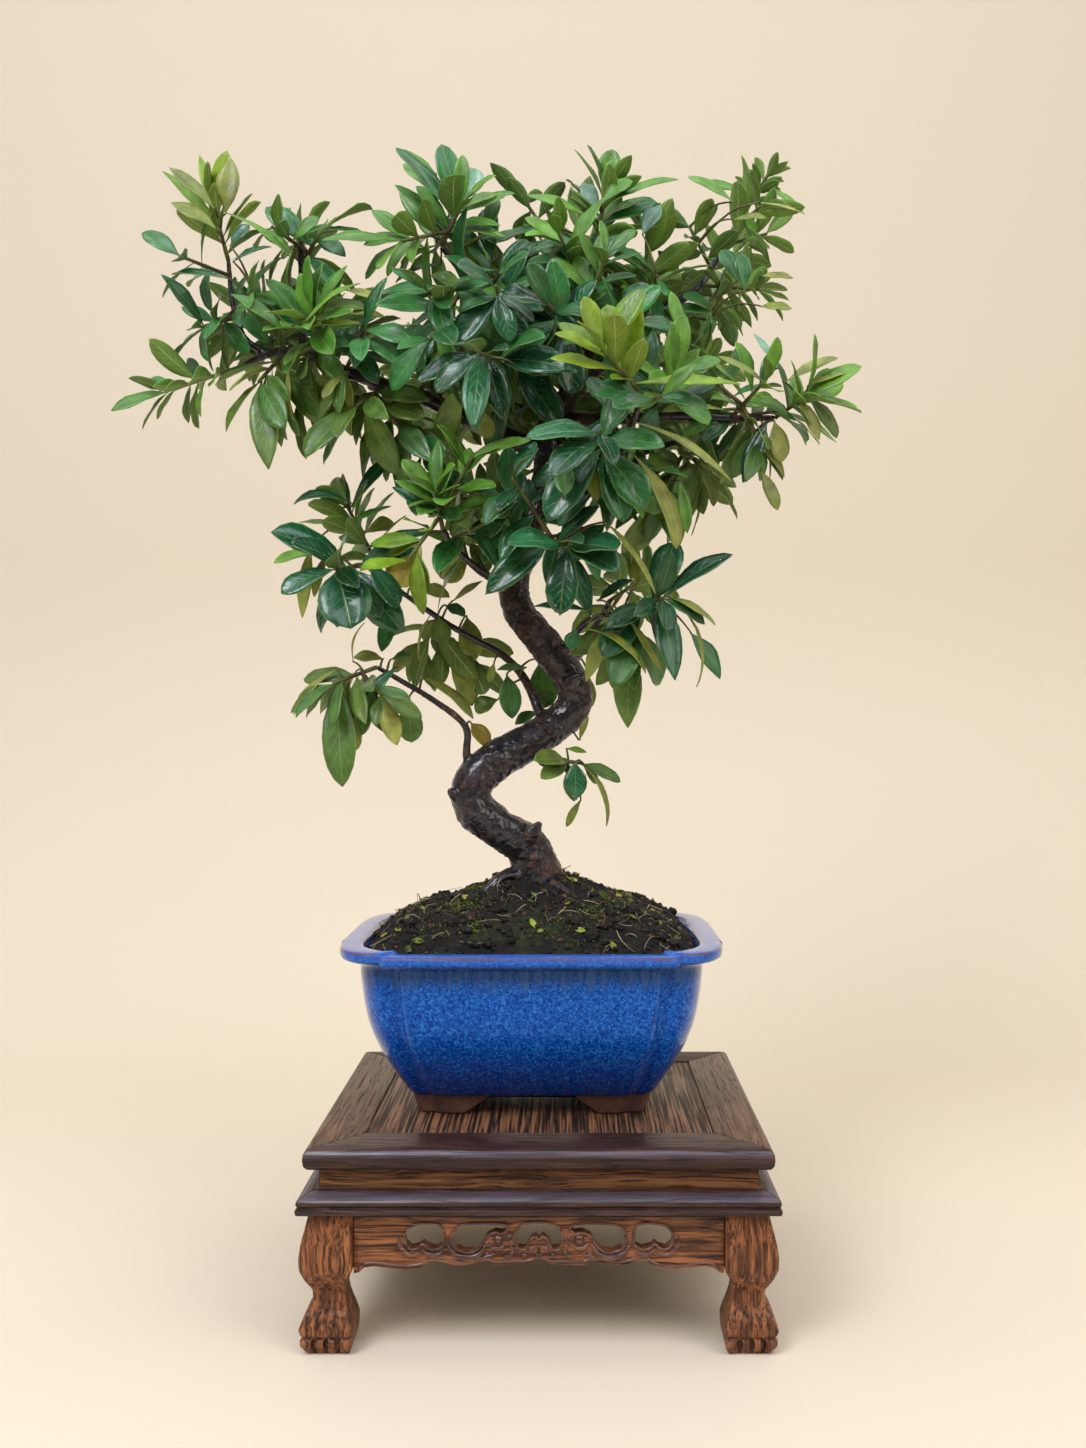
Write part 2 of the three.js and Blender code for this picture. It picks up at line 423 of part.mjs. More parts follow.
// Each spray starts on a limb. Each of its shoots ends at a point and has a number of leaves of a length and
// habit; from the second on, a shoot forks from the first. An aimed leaf stands at a share of its shoot's
// length, and has its tip's place and its width.
const sprays = {
  left_top: { from: [-171, -6, 553], shoots: [{ to: [-179, -8, 584], leaves: 7, length: 34, habit: 'young',
    aimed: [[0.8, [-170, -14, 610], 15], [0.6, [-205, -12, 600], 11], [0.9, [-188, -2, 613], 9]] }] },
  left_riser: { from: [-168, -7, 522], shoots: [
    { to: [-182, -20, 513], leaves: 4, length: 30, habit: 'dark', aimed: [[0.9, [-200, -30, 538], 12]] },
    { to: [-150, -34, 527], leaves: 5, length: 32, habit: 'dark' }] },
  left_stub: { from: [-129, -17, 547], shoots: [
    { to: [-116, -28, 562], leaves: 4, length: 36, habit: 'dark' },
    { to: [-144, -22, 566], leaves: 4, length: 32, habit: 'dark' }] },
  left_rosette: { from: [-121, -14, 499], shoots: [{ to: [-117, -46, 511], leaves: 10, length: 36, habit: 'bright' }] },
  left_tip: { from: [-162, -10, 495], shoots: [{ to: [-203, -14, 480], leaves: 8, length: 33, habit: 'bright',
    aimed: [[0.97, [-231, -18, 469], 12]] }] },
  left_under: { from: [-139, -12, 502], shoots: [
    { to: [-148, -34, 480], leaves: 4, length: 42, habit: 'hang', aimed: [[0.9, [-140, -46, 432], 20]] },
    { to: [-132, -2, 482], leaves: 4, length: 40, habit: 'hang' }] },
  left_middle: { from: [-106, -14, 491], shoots: [
    { to: [-91, -44, 505], leaves: 6, length: 36, habit: 'dark' },
    { to: [-112, 22, 538], leaves: 7, length: 34, habit: 'dark' }] },
  left_hanging: { from: [-85, -12, 484], shoots: [
    { to: [-96, -40, 466], leaves: 4, length: 42, habit: 'hang', aimed: [[0.8, [-120, -52, 437], 17]] },
    { to: [-72, -26, 456], leaves: 4, length: 42, habit: 'hang' },
    { to: [-58, -24, 436], leaves: 5, length: 38, habit: 'dark' }] },
  left_back: { from: [-131, -14, 501], shoots: [
    { to: [-158, 44, 530], leaves: 8, length: 33, habit: 'dark' },
    { to: [-110, 40, 500], leaves: 7, length: 34, habit: 'hang' }] },
  crown_left_top: { from: [-53, -26, 554], shoots: [
    { to: [-41, -36, 573], leaves: 7, length: 37, habit: 'bright', aimed: [[0.7, [-76, -34, 603], 13]] },
    { to: [-73, -36, 553], leaves: 5, length: 36, habit: 'bright', aimed: [[0.95, [-113, -46, 550], 14]] },
    { to: [-62, 16, 566], leaves: 6, length: 34, habit: 'bright' }] },
  crown_left_side: { from: [-33, -20, 533], shoots: [
    { to: [-58, -52, 522], leaves: 6, length: 36, habit: 'dark' },
    { to: [-56, -58, 495], leaves: 5, length: 36, habit: 'dark' },
    { to: [-40, -48, 466], leaves: 6, length: 38, habit: 'hang' }] },
  crown_left_inner: { from: [-20, -14, 517], shoots: [{ to: [-22, -64, 520], leaves: 7, length: 34, habit: 'wet' }] },
  crown_left_front: { from: [-7, -6, 493], shoots: [{ to: [-30, -74, 484], leaves: 7, length: 42, habit: 'wet',
    aimed: [[0.95, [-32, -88, 443], 18]] }] },
  crown_middle: { from: [28, -5, 528], shoots: [
    { to: [9, -34, 558], leaves: 7, length: 34, habit: 'bright' },
    { to: [-11, 8, 593], leaves: 7, length: 32, habit: 'dark' },
    { to: [-24, 32, 558], leaves: 6, length: 34, habit: 'dark' }] },
  crown_top: { from: [26, 0, 553], shoots: [
    { to: [35, -8, 590], leaves: 9, length: 36, habit: 'bright',
      aimed: [[0.85, [73, -16, 594], 14], [0.96, [38, -9, 613], 13]] },
    { to: [18, 36, 584], leaves: 6, length: 34, habit: 'dark' }] },
  crown_centre: { from: [24, -5, 503], shoots: [
    { to: [4, -64, 511], leaves: 7, length: 36, habit: 'wet' },
    { to: [34, -56, 540], leaves: 7, length: 28, habit: 'bright' },
    { to: [48, -52, 506], leaves: 6, length: 36, habit: 'dark' }] },
  crown_young: { from: [50, -80, 462], shoots: [{ to: [30, -94, 480], leaves: 7, length: 36, habit: 'young',
    aimed: [[0.25, [96, -96, 463], 13], [0.9, [8, -106, 484], 11], [0.95, [50, -100, 507], 13]] }] },
  crown_right_inner: { from: [55, 25, 524], shoots: [
    { to: [62, -16, 542], leaves: 7, length: 34, habit: 'dark' },
    { to: [58, 14, 577], leaves: 6, length: 38, habit: 'bright' },
    { to: [62, 62, 556], leaves: 6, length: 34, habit: 'bright' }] },
  crown_right_middle: { from: [90, 35, 554], shoots: [
    { to: [121, 10, 543], leaves: 7, length: 26, habit: 'bright' },
    { to: [82, 18, 582], leaves: 6, length: 30, habit: 'dark' },
    { to: [92, 0, 524], leaves: 5, length: 30, habit: 'dark' },
    { to: [98, 62, 552], leaves: 6, length: 34, habit: 'dark' }] },
  crown_right_top: { from: [115, 38, 595], shoots: [{ to: [130, 36, 619], leaves: 10, length: 20, habit: 'bright',
    aimed: [[0.5, [88, 34, 613], 10], [0.75, [150, 36, 597], 9]] }] },
  right_tip: { from: [125, -18, 465], shoots: [{ to: [140, -30, 474], leaves: 7, length: 34, habit: 'bright',
    aimed: [[0.95, [167, -36, 488], 14]] }] },
  right_limb: { from: [101, -16, 465], shoots: [
    { to: [117, -40, 480], leaves: 5, length: 33, habit: 'bright' },
    { to: [92, 8, 494], leaves: 5, length: 32, habit: 'dark' },
    { to: [114, -36, 448], leaves: 4, length: 36, habit: 'hang', aimed: [[0.7, [107, -48, 426], 18]] }] },
  right_front: { from: [58, -11, 467], shoots: [{ to: [68, -58, 479], leaves: 7, length: 38, habit: 'bright' }] },
  front_right_big: { from: [33, -55, 430], shoots: [{ to: [29, -88, 442], leaves: 4, length: 46, habit: 'wet',
    aimed: [[0.9, [6, -106, 417], 19], [0.6, [4, -86, 399], 20]] }] },
  right_fan_hanging: { from: [75, 24, 461], shoots: [
    { to: [88, 2, 442], leaves: 6, length: 42, habit: 'hang' },
    { to: [63, -18, 424], leaves: 5, length: 42, habit: 'hang', aimed: [[0.85, [72, -26, 394], 18]] },
    { to: [88, 50, 446], leaves: 6, length: 36, habit: 'hang' }] },
  front_low_big: { from: [2, -46, 398], shoots: [{ to: [14, -74, 388], leaves: 4, length: 42, habit: 'wet',
    aimed: [[0.9, [-15, -90, 388], 22], [0.95, [37, -96, 384], 22]] },
    { to: [-14, -66, 424], leaves: 6, length: 36, habit: 'wet' }] },
  upper_left_bright: { from: [-51, -40, 402], shoots: [
    { to: [-53, -56, 419], leaves: 8, length: 32, habit: 'bright' },
    { to: [-68, -52, 384], leaves: 4, length: 34, habit: 'young' },
    { to: [-34, -60, 436], leaves: 5, length: 34, habit: 'bright' }] },
  middle_left_top: { from: [-85, -4, 378], shoots: [{ to: [-106, -12, 420], leaves: 8, length: 33, habit: 'bright' }] },
  middle_left_big: { from: [-96, -8, 387], shoots: [{ to: [-106, -46, 381], leaves: 6, length: 42, habit: 'wet',
    aimed: [[0.95, [-95, -62, 349], 26]] }] },
  middle_left_hanging: { from: [-57, 5, 360], shoots: [
    { to: [-69, 24, 345], leaves: 4, length: 36, habit: 'hang' },
    { to: [-38, 30, 336], leaves: 4, length: 36, habit: 'hang' }] },
  lower_left_tip: { from: [-87, -28, 331], shoots: [
    { to: [-108, -40, 322], leaves: 5, length: 38, habit: 'hang',
      aimed: [[0.9, [-101, -52, 269], 19], [0.97, [-131, -36, 307], 13]] },
    { to: [-82, -46, 316], leaves: 3, length: 30, habit: 'hang', aimed: [[0.9, [-74, -44, 290], 13]] }] },
  lower_right_front: { from: [47, -32, 359], shoots: [
    { to: [63, -48, 366], leaves: 5, length: 38, habit: 'wet',
      aimed: [[0.9, [68, -60, 323], 18], [0.97, [99, -42, 389], 12]] },
    { to: [45, -36, 341], leaves: 4, length: 42, habit: 'hang', aimed: [[0.95, [45, -40, 299], 20]] }] },
  low_twig: { from: [11, -10, 281], shoots: [{ to: [22, -17, 280], leaves: 3, length: 26, habit: 'hang',
    aimed: [[0.6, [17, -24, 260], 14], [0.95, [36, -18, 247], 9]] }] },
  back_crown: { from: [3, 76, 534], shoots: [
    { to: [8, 92, 564], leaves: 7, length: 34, habit: 'bright' },
    { to: [-28, 92, 540], leaves: 6, length: 34, habit: 'dark' },
    { to: [36, 94, 530], leaves: 6, length: 34, habit: 'dark' }] },
  back_right: { from: [72, 68, 508], shoots: [
    { to: [100, 80, 520], leaves: 7, length: 34, habit: 'bright' },
    { to: [72, 94, 490], leaves: 6, length: 36, habit: 'hang' }] },
  back_left: { from: [-60, 66, 508], shoots: [
    { to: [-84, 80, 524], leaves: 7, length: 34, habit: 'bright' },
    { to: [-58, 92, 492], leaves: 6, length: 36, habit: 'hang' }] },
  middle_back: { from: [-34, 52, 438], shoots: [
    { to: [-58, 66, 446], leaves: 6, length: 36, habit: 'dark' },
    { to: [-22, 82, 430], leaves: 6, length: 36, habit: 'hang' }] },
  low_back: { from: [39, 52, 374], shoots: [
    { to: [60, 66, 389], leaves: 6, length: 36, habit: 'dark' },
    { to: [30, 72, 356], leaves: 4, length: 34, habit: 'hang' }] },
};

const forkShare = 0.35;              // of the first shoot's length
const goldenAngle = degrees(137.5);
const turnsTried = [0, 25, -25, 50, -50, 75, -75, 100, -100].map(degrees);
const lengthsTried = [1, 0.8];
const crownHalf = [220, 60];         // the crown is wide and shallow: leaves face away from its middle
const sampleRows = [0.15, 0.28, 0.4, 0.52, 0.64, 0.76, 0.88, 1];
const sampleColumns = [-1, -0.5, 0, 0.5, 1];

// A number from 0 to 1 that depends only on its three indices.
function noise(i, j, k) {
  const value = Math.sin(i * 12.9898 + j * 78.233 + k * 37.719) * 43758.5453;
  return value - Math.floor(value);
}

// Width of a blade at a share of its length, as a share of its greatest width: widest past the middle.
function bladeOutline(u) {
  const past = Math.max(0, (u - 0.06) / 0.94);
  return past ** 0.95 * (1 - past) ** 0.65 / 0.3394;
}

// A leaf has a foot, a direction, an upper side, a length, a width and a bend in radians.
function bladeFrame(leaf, u) {
  const turn = leaf.bend * u;
  const middle = leaf.foot.clone()
    .addScaledVector(leaf.direction, leaf.length / leaf.bend * Math.sin(turn))
    .addScaledVector(leaf.upper, -leaf.length / leaf.bend * (1 - Math.cos(turn)));
  const upper = leaf.upper.clone().multiplyScalar(Math.cos(turn)).addScaledVector(leaf.direction, Math.sin(turn));
  return { middle, upper, side: leaf.direction.clone().cross(leaf.upper) };
}

function bladeSamples(leaf) {
  return sampleRows.flatMap((u) => {
    const { middle, side } = bladeFrame(leaf, u);
    const half = leaf.width / 2 * bladeOutline(u);
    return sampleColumns.map((v) => middle.clone().addScaledVector(side, half * v));
  });
}

// A blade from its foot to its tip through rings of three points: flat above, with a keel under the midrib.
function bladeSolid(leaf) {
  const shares = leaf.length < blade.small ? [0.55] : leaf.length < blade.large ? [0.36, 0.7] : [0.3, 0.56, 0.8];
  const points = [bladeFrame(leaf, 0).middle.addScaledVector(leaf.direction, -stemRadius[1] * 0.6)];
  shares.forEach((u, i) => {
    const { middle, upper, side } = bladeFrame(leaf, u);
    const half = leaf.width / 2 * bladeOutline(u);
    points.push(middle.clone().addScaledVector(side, -half), middle.clone().addScaledVector(side, half),
      middle.clone().addScaledVector(upper, -(i ? blade.keel : blade.stalkKeel)));
  });
  points.push(bladeFrame(leaf, 1).middle);
  const last = 3 * shares.length - 2;
  const faces = [];
  for (let j = 0; j < 3; j++) {
    const next = (j + 1) % 3;
    faces.push([0, 1 + next, 1 + j], [last + j, last + next, points.length - 1]);
    for (let i = 1; i < last; i += 3) {
      faces.push([i + j, i + next, i + 3 + next], [i + j, i + 3 + next, i + 3 + j]);
    }
  }
  return closed(points, faces);
}

function makeLeaf(foot, direction, upper, length, width, bend) {
  const across = upper.clone().addScaledVector(direction, -upper.dot(direction));
  return { foot, direction, upper: across.normalize(), length, width, bend: degrees(bend) };
}

// A shoot's stem starts where it has come clear of the limb that it grows from; a forked one in its shoot.
function stemBar(line, forked) {
  const startingAt = (share) => bar(barRings(
    [[...line.getPoint(share), stemRadius[0]], [...line.v2, stemRadius[1]]], 3, 1));
  if (forked) return startingAt(0);
  let [inWood, outside] = [0, 0.5];
  for (let halving = 0; halving < 9; halving++) {
    const middle = (inWood + outside) / 2;
    if (woodRoom.intersect(startingAt(middle)).isEmpty()) outside = middle;
    else inWood = middle;
  }
  return startingAt(outside);
}

// A leaf whose tip is given: it leaves the shoot at its share and bends so that it ends at that point.
function aimedLeaf(line, [share, tip, width], { bend }) {
  const foot = line.getPoint(share);
  const chord = vec(...tip).sub(foot);
  const length = chord.length();
  chord.normalize();
  const upper = vec(0, -0.7, 0.7).addScaledVector(chord, -0.7 * (chord.z - chord.y)).normalize();
  const half = degrees(bend) / 2;
  const direction = chord.clone().multiplyScalar(Math.cos(half)).addScaledVector(upper, Math.sin(half));
  return makeLeaf(foot, direction, upper, length * half / Math.sin(half), width, bend);
}

function shootLeaf({ shoot, line, ids: [i, j] }, number, turn, shorter) {
  const habit = habits[shoot.habit];
  const share = number / (shoot.leaves - 1);
  const at = lerp(0.3, 0.97, share);
  const tangent = line.getTangent(at);
  const level = vec(0, 0, 1).cross(tangent).normalize();
  const rising = tangent.clone().cross(level);
  const around = goldenAngle * number + 2 * Math.PI * noise(i, j, 1) + turn;
  const sweep = degrees(lerp(...habit.sweep, share) + 16 * (noise(i, j, number + 2) - 0.5));
  const direction = tangent.clone().multiplyScalar(Math.cos(sweep))
    .addScaledVector(level, Math.sin(sweep) * Math.cos(around))
    .addScaledVector(rising, Math.sin(sweep) * Math.sin(around));
  direction.z += habit.lean * (0.7 + 0.6 * noise(i, number, j + 5));
  direction.normalize();
  const foot = line.getPoint(at);
  const outward = vec(foot.x / crownHalf[0], foot.y / crownHalf[1], 0).normalize();
  const upper = vec(0.5 * (noise(number, i, j + 9) - 0.5), 0, 0.6).add(outward.multiplyScalar(0.7));
  const length = shoot.length * shorter * (0.8 + 0.36 * noise(j, number, i + 3)) * lerp(1, 0.82, share);
  return makeLeaf(foot, direction, upper.addScaledVector(tangent, 0.2), length, length * habit.slim, habit.bend);
}

// Growing: a leaf is kept where it stands clear of the wood, the shoots and the leaves already there

// Points about a millimetre apart along a bar's middle, each with the bar's radius there.
function barSamples([stations, , steps]) {
  const places = ringPlaces(stations, steps);
  return places.slice(1).flatMap((end, i) => {
    const start = places[i];
    const parts = Math.ceil(start.middle.distanceTo(end.middle));
    return Array.from({ length: parts }, (_, k) => ({
      point: start.middle.clone().lerp(end.middle, k / parts),
      radius: lerp(start.radius, end.radius, k / parts),
    }));
  });
}

const wood = treeBars.flatMap(barSamples);
const bars = wood.filter((sample, i) => i % 4 === 0);
const shoots = [];
Object.entries(sprays).forEach(([name, { from, shoots: list }], i) => {
  const fork = vec(...from).lerp(vec(...list[0].to), forkShare);
  list.forEach((shoot, j) => {
    const line = new THREE.LineCurve3(j ? fork : vec(...from), vec(...shoot.to));
    shoots.push({ name, shoot, line, ids: [i, j] });
    const length = line.getLength();
    for (let out = length; out > 4; out -= 3) bars.push({ point: line.getPoint(out / length), radius: stemRadius[0] });
  });
});

const grown = [];                    // every leaf that is kept

function standsClear(leaf, spray) {
  const samples = bladeSamples(leaf);
  const middle = bladeFrame(leaf, 0.5).middle;
  const reachOut = leaf.length * 0.56;
  const beyondFoot = samples.slice(sampleColumns.length);
  for (const { point, radius } of bars) {
    if (point.distanceTo(middle) > reachOut + radius + clear.wood) continue;
    if (beyondFoot.some((p) => p.distanceTo(point) < radius + clear.wood)) return false;
  }
  for (const other of grown) {
    if (other.middle.distanceTo(middle) > reachOut + other.reachOut + clear.otherSpray) continue;
    const same = other.spray === spray;
    const least = same ? clear.sameSpray : clear.otherSpray;
    const skip = same ? sampleColumns.length : 0;
    for (const p of samples.slice(skip)) {
      if (other.samples.slice(skip).some((q) => p.distanceTo(q) < least)) return false;
    }
  }
  grown.push({ ...leaf, spray, samples, middle, reachOut });
  return true;
}

for (const { name, shoot, line } of shoots) {
  for (const aim of shoot.aimed ?? []) standsClear(aimedLeaf(line, aim, habits[shoot.habit]), name);
}
for (const entry of shoots) {
  for (let number = entry.shoot.leaves - 1; number >= 0; number--) {
    lengthsTried.some((shorter) => turnsTried.some((turn) => (
      standsClear(shootLeaf(entry, number, turn, shorter), entry.name))));
  }
}

// Each spray is one body. A leaf that would still cut a finished spray is left out.
const built = [{ solid: tree, box: boxOf(tree) }];
for (const name of Object.keys(sprays)) {
  const own = shoots.filter((entry) => entry.name === name);
  const parts = own.map(({ line }, j) => stemBar(line, j > 0));
  for (const leaf of grown.filter((candidate) => candidate.spray === name)) {
    const solid = bladeSolid(leaf);
    const box = new THREE.Box3().setFromPoints(leaf.samples).expandByScalar(2);
    const cuts = built.some((other) => other.box.intersectsBox(box) && !other.solid.intersect(solid).isEmpty());
    if (!cuts) parts.push(solid);
  }
  const solid = largest(union(parts));
  built.push({ name, solid, box: boxOf(solid) });
  place(`spray_${name}`, solid, colours[own[0].shoot.habit]);
}

// The origin is below the middle of the whole, on the floor
const room = new THREE.Box3().setFromObject(bonsai);
const centre = room.getCenter(vec(0, 0, 0));
bonsai.position.set(-centre.x, -centre.y, -room.min.z);

export default bonsai;
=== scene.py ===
import math
import random
import bmesh
import bpy
import numpy as np
from mathutils import Matrix, Vector, noise
from mathutils.bvhtree import BVHTree
from mathutils.kdtree import KDTree


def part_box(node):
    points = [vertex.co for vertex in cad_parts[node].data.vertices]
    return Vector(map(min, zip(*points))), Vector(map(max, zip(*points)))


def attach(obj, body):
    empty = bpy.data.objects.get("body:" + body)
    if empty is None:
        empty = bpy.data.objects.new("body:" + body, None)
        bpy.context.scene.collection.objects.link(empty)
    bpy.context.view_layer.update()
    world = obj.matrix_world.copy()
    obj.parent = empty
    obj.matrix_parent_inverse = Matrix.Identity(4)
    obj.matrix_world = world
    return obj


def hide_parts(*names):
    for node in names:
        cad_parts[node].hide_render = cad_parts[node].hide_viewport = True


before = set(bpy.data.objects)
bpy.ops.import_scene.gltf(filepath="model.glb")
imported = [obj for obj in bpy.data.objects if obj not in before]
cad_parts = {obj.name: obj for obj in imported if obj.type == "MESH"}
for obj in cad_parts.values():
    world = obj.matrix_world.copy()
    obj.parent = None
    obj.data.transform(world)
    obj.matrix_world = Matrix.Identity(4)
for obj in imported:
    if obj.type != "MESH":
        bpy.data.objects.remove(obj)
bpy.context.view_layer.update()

# Lengths are millimetres from the middle of the stand, on the floor. toFrame brings them into the frame.
panelLow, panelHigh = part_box("stand_panel")
standMiddle = Vector(((panelLow.x + panelHigh.x) / 2, (panelLow.y + panelHigh.y) / 2, 0))
toFrame = Matrix.Translation(standMiddle) @ Matrix.Scale(0.001, 4)
fromFrame = toFrame.inverted()
scene = bpy.context.scene


# Shader helpers

def linearColour(code):
    # a web colour, as the linear values that shaders take
    parts = [int(code[i:i + 2], 16) / 255 for i in (1, 3, 5)]
    return [c / 12.92 if c <= 0.04045 else ((c + 0.055) / 1.055) ** 2.4 for c in parts] + [1]


def feed(tree, node, inputs):
    # an input takes a value, a web colour, or the socket that feeds it
    for key, value in inputs.items():
        if isinstance(value, bpy.types.NodeSocket):
            tree.links.new(value, node.inputs[key])
        else:
            node.inputs[key].default_value = linearColour(value) if isinstance(value, str) else value


def addNode(tree, kind, inputs=None, **settings):
    made = tree.nodes.new(kind)
    for key, value in settings.items():
        setattr(made, key, value)
    feed(tree, made, inputs or {})
    return made


def mixColours(tree, factor, first, second, blend="MIX"):
    inputs = {0: factor, 6: first, 7: second}
    return addNode(tree, "ShaderNodeMix", inputs, data_type="RGBA", blend_type=blend).outputs[2]


def calculate(tree, operation, first, second=0.0, third=0.0):
    return addNode(tree, "ShaderNodeMath", {0: first, 1: second, 2: third}, operation=operation).outputs[0]


def product(tree, first, second):
    return calculate(tree, "MULTIPLY", first, second)


def spread(tree, value, low, high, newLow=0.0, newHigh=1.0):
    # what runs from low to high comes out from newLow to newHigh
    inputs = {"Value": value, "From Min": low, "From Max": high, "To Min": newLow, "To Max": newHigh}
    return addNode(tree, "ShaderNodeMapRange", inputs).outputs[0]


def objectPlace(tree):
    return addNode(tree, "ShaderNodeTexCoord").outputs["Object"]


def mapped(tree, place, scale=(1, 1, 1), turn=(0, 0, 0)):
    return addNode(tree, "ShaderNodeMapping", {"Vector": place, "Scale": scale, "Rotation": turn}).outputs[0]


def axesOf(tree, place):
    return addNode(tree, "ShaderNodeSeparateXYZ", {0: place}).outputs


def attributeOf(tree, name):
    return addNode(tree, "ShaderNodeAttribute", attribute_name=name).outputs


def noiseAt(tree, place, scale, detail=3.0, roughness=0.55, distortion=0.0):
    made = addNode(tree, "ShaderNodeTexNoise", {"Vector": place, "Scale": scale, "Detail": detail})
    feed(tree, made, {"Roughness": roughness, "Distortion": distortion})
    return made.outputs[0]


def bumped(tree, height, strength, distance):
    inputs = {"Height": height, "Strength": strength, "Distance": distance}
    return addNode(tree, "ShaderNodeBump", inputs).outputs[0]


def newMaterial(name, values):
    # values are the plain constants on the shader's own sockets
    material = bpy.data.materials.new(name)
    material.use_nodes = True
    shader = material.node_tree.nodes["Principled BSDF"]
    feed(material.node_tree, shader, values)
    return material, material.node_tree, shader


def newGroup(name, inputs, outputs):
    tree = bpy.data.node_groups.new(name, "ShaderNodeTree")
    for label, kind, value in inputs:
        socket = tree.interface.new_socket(label, in_out="INPUT", socket_type=kind)
        if value is not None:
            socket.default_value = value
    for label, kind in outputs:
        tree.interface.new_socket(label, in_out="OUTPUT", socket_type=kind)
    return tree, tree.nodes.new("NodeGroupInput"), tree.nodes.new("NodeGroupOutput")


# Mesh helpers

def linkObject(name, data):
    made = bpy.data.objects.new(name, data)
    scene.collection.objects.link(made)
    return made


def meshOf(bm, name):
    mesh = bpy.data.meshes.new(name)
    bm.to_mesh(mesh)
    bm.free()
    return mesh


def vertsOf(geometry):
    return [g for g in geometry if isinstance(g, bmesh.types.BMVert)]


def extrudeEdges(bm, edges):
    # the new verts, and the new edges beside the old ones
    made = bmesh.ops.extrude_edge_only(bm, edges=edges)["geom"]
    verts = vertsOf(made)
    return verts, [g for g in made if isinstance(g, bmesh.types.BMEdge) and all(v in verts for v in g.verts)]


def joinInto(bm, part):
    mesh = meshOf(part, "part")
    bm.from_mesh(mesh)
    bpy.data.meshes.remove(mesh)


def finishPiece(name, bm, materials, replaced=(), sharp=None):
    # the mesh comes in millimetres from the stand's middle
    bm.transform(toFrame)
    mesh = meshOf(bm, name)
    mesh.shade_smooth()
    if sharp:
        mesh.set_sharp_from_angle(angle=math.radians(sharp))
    for material in materials:
        mesh.materials.append(material)
    piece = linkObject(name, mesh)
    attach(piece, "root")
    if replaced:
        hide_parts(*replaced)
    return piece


def thicken(piece, thickness, **settings):
    modifier = piece.modifiers.new("thickness", "SOLIDIFY")
    modifier.thickness = thickness * 0.001
    for key, value in settings.items():
        setattr(modifier, key, value)


def copyOfNode(name):
    # the node's own shape, its loose triangles merged, in millimetres from the stand's middle
    bm = bmesh.new()
    bm.from_mesh(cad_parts[name].data)
    bm.transform(fromFrame)
    bmesh.ops.remove_doubles(bm, verts=bm.verts, dist=0.004)
    bmesh.ops.dissolve_limit(bm, angle_limit=math.radians(0.5), verts=bm.verts, edges=bm.edges)
    return bm


def softenEdges(bm, width, angle, segments=2):
    sharpEdges = [e for e in bm.edges if e.is_manifold and e.calc_face_angle(0) > math.radians(angle)]
    bmesh.ops.bevel(bm, geom=sharpEdges, offset=width, offset_type="OFFSET", segments=segments, profile=0.5,
                    affect="EDGES", clamp_overlap=True, material=-1)


def shapedBy(bm, *modifiers):
    # the bmesh after modifiers, each given as its kind and settings
    working = linkObject("working", meshOf(bm, "working"))
    for kind, settings in modifiers:
        modifier = working.modifiers.new(kind, kind)
        for key, value in settings.items():
            setattr(modifier, key, value)
    depsgraph = bpy.context.evaluated_depsgraph_get()
    result = bmesh.new()
    result.from_mesh(bpy.data.meshes.new_from_object(working.evaluated_get(depsgraph)))
    bpy.data.objects.remove(working)
    return result


def cutterOf(bm):
    bmesh.ops.recalc_face_normals(bm, faces=bm.faces)
    return linkObject("cutter", meshOf(bm, "cutter"))


def ringMatrices(points):
    # a frame at each point of a line, turned as little as possible from one to the next
    tangents = []
    for i in range(len(points)):
        tangents.append((points[min(i + 1, len(points) - 1)] - points[max(i - 1, 0)]).normalized())
    across = tangents[0].orthogonal().normalized()
    matrices = []
    for point, tangent in zip(points, tangents):
        across = (across - tangent * across.dot(tangent)).normalized()
        turn = Matrix((across, tangent.cross(across), tangent)).transposed().to_4x4()
        matrices.append(Matrix.Translation(point) @ turn)
    return matrices


def sweep(whole, points, radii, sides):
    # a closed round bar along a line
    bm = bmesh.new()
    matrices = [m @ Matrix.Diagonal((r, r, 1, 1)) for m, r in zip(ringMatrices(points), radii)]
    verts = bmesh.ops.create_circle(bm, cap_ends=False, segments=sides, radius=1, matrix=matrices[0])["verts"]
    firstEdges = edges = list({e for v in verts for e in v.link_edges})
    for before, after in zip(matrices, matrices[1:]):
        verts, edges = extrudeEdges(bm, edges)
        bmesh.ops.transform(bm, matrix=after @ before.inverted(), verts=verts)
    for ends in (firstEdges, edges):
        bmesh.ops.contextual_create(bm, geom=ends)
    joinInto(whole, bm)


# Camera, light and floor

cameraValues = {
    "place": (14, -714, 301),     # level, at the height of the crown's foot
    "lens": 32.3,
    "shift": -0.0173,
}
lightValues = {
    # bright overhead and dim all round: how far up it begins and is full, and what the sides add
    "world": {"dim": "#b9b2aa", "bright": "#fffcf6", "strength": 0.8, "dimness": 0.12,
              "ceiling": (0.05, 0.6), "sides": (0.6, 1.0, 0.0, 0.3)},
    # name: place, what it points at, size across and along, power, colour
    "key": ((-800, -1100, 1400), (0, 100, 330), (700, 700), 16, "#f6f8ff"),
    "fill": ((1200, -1000, 1000), (0, 100, 300), (1000, 1000), 8, "#fff6ea"),
    "strip": ((0, -620, 1500), (0, 0, 250), (2200, 420), 10, "#dbe4ff"),
    "wall": ((0, 150, 2100), (0, 900, 800), (2400, 300), 8, "#f6f8ff"),
}
backdropValues = {
    "finish": {"Base Color": "#ded2bd", "Roughness": 0.9, "Specular IOR Level": 0.1},
    "halfWidth": 3000, "front": -1500, "back": 900, "height": 2600, "bend": 500, "bendSteps": 16,
}


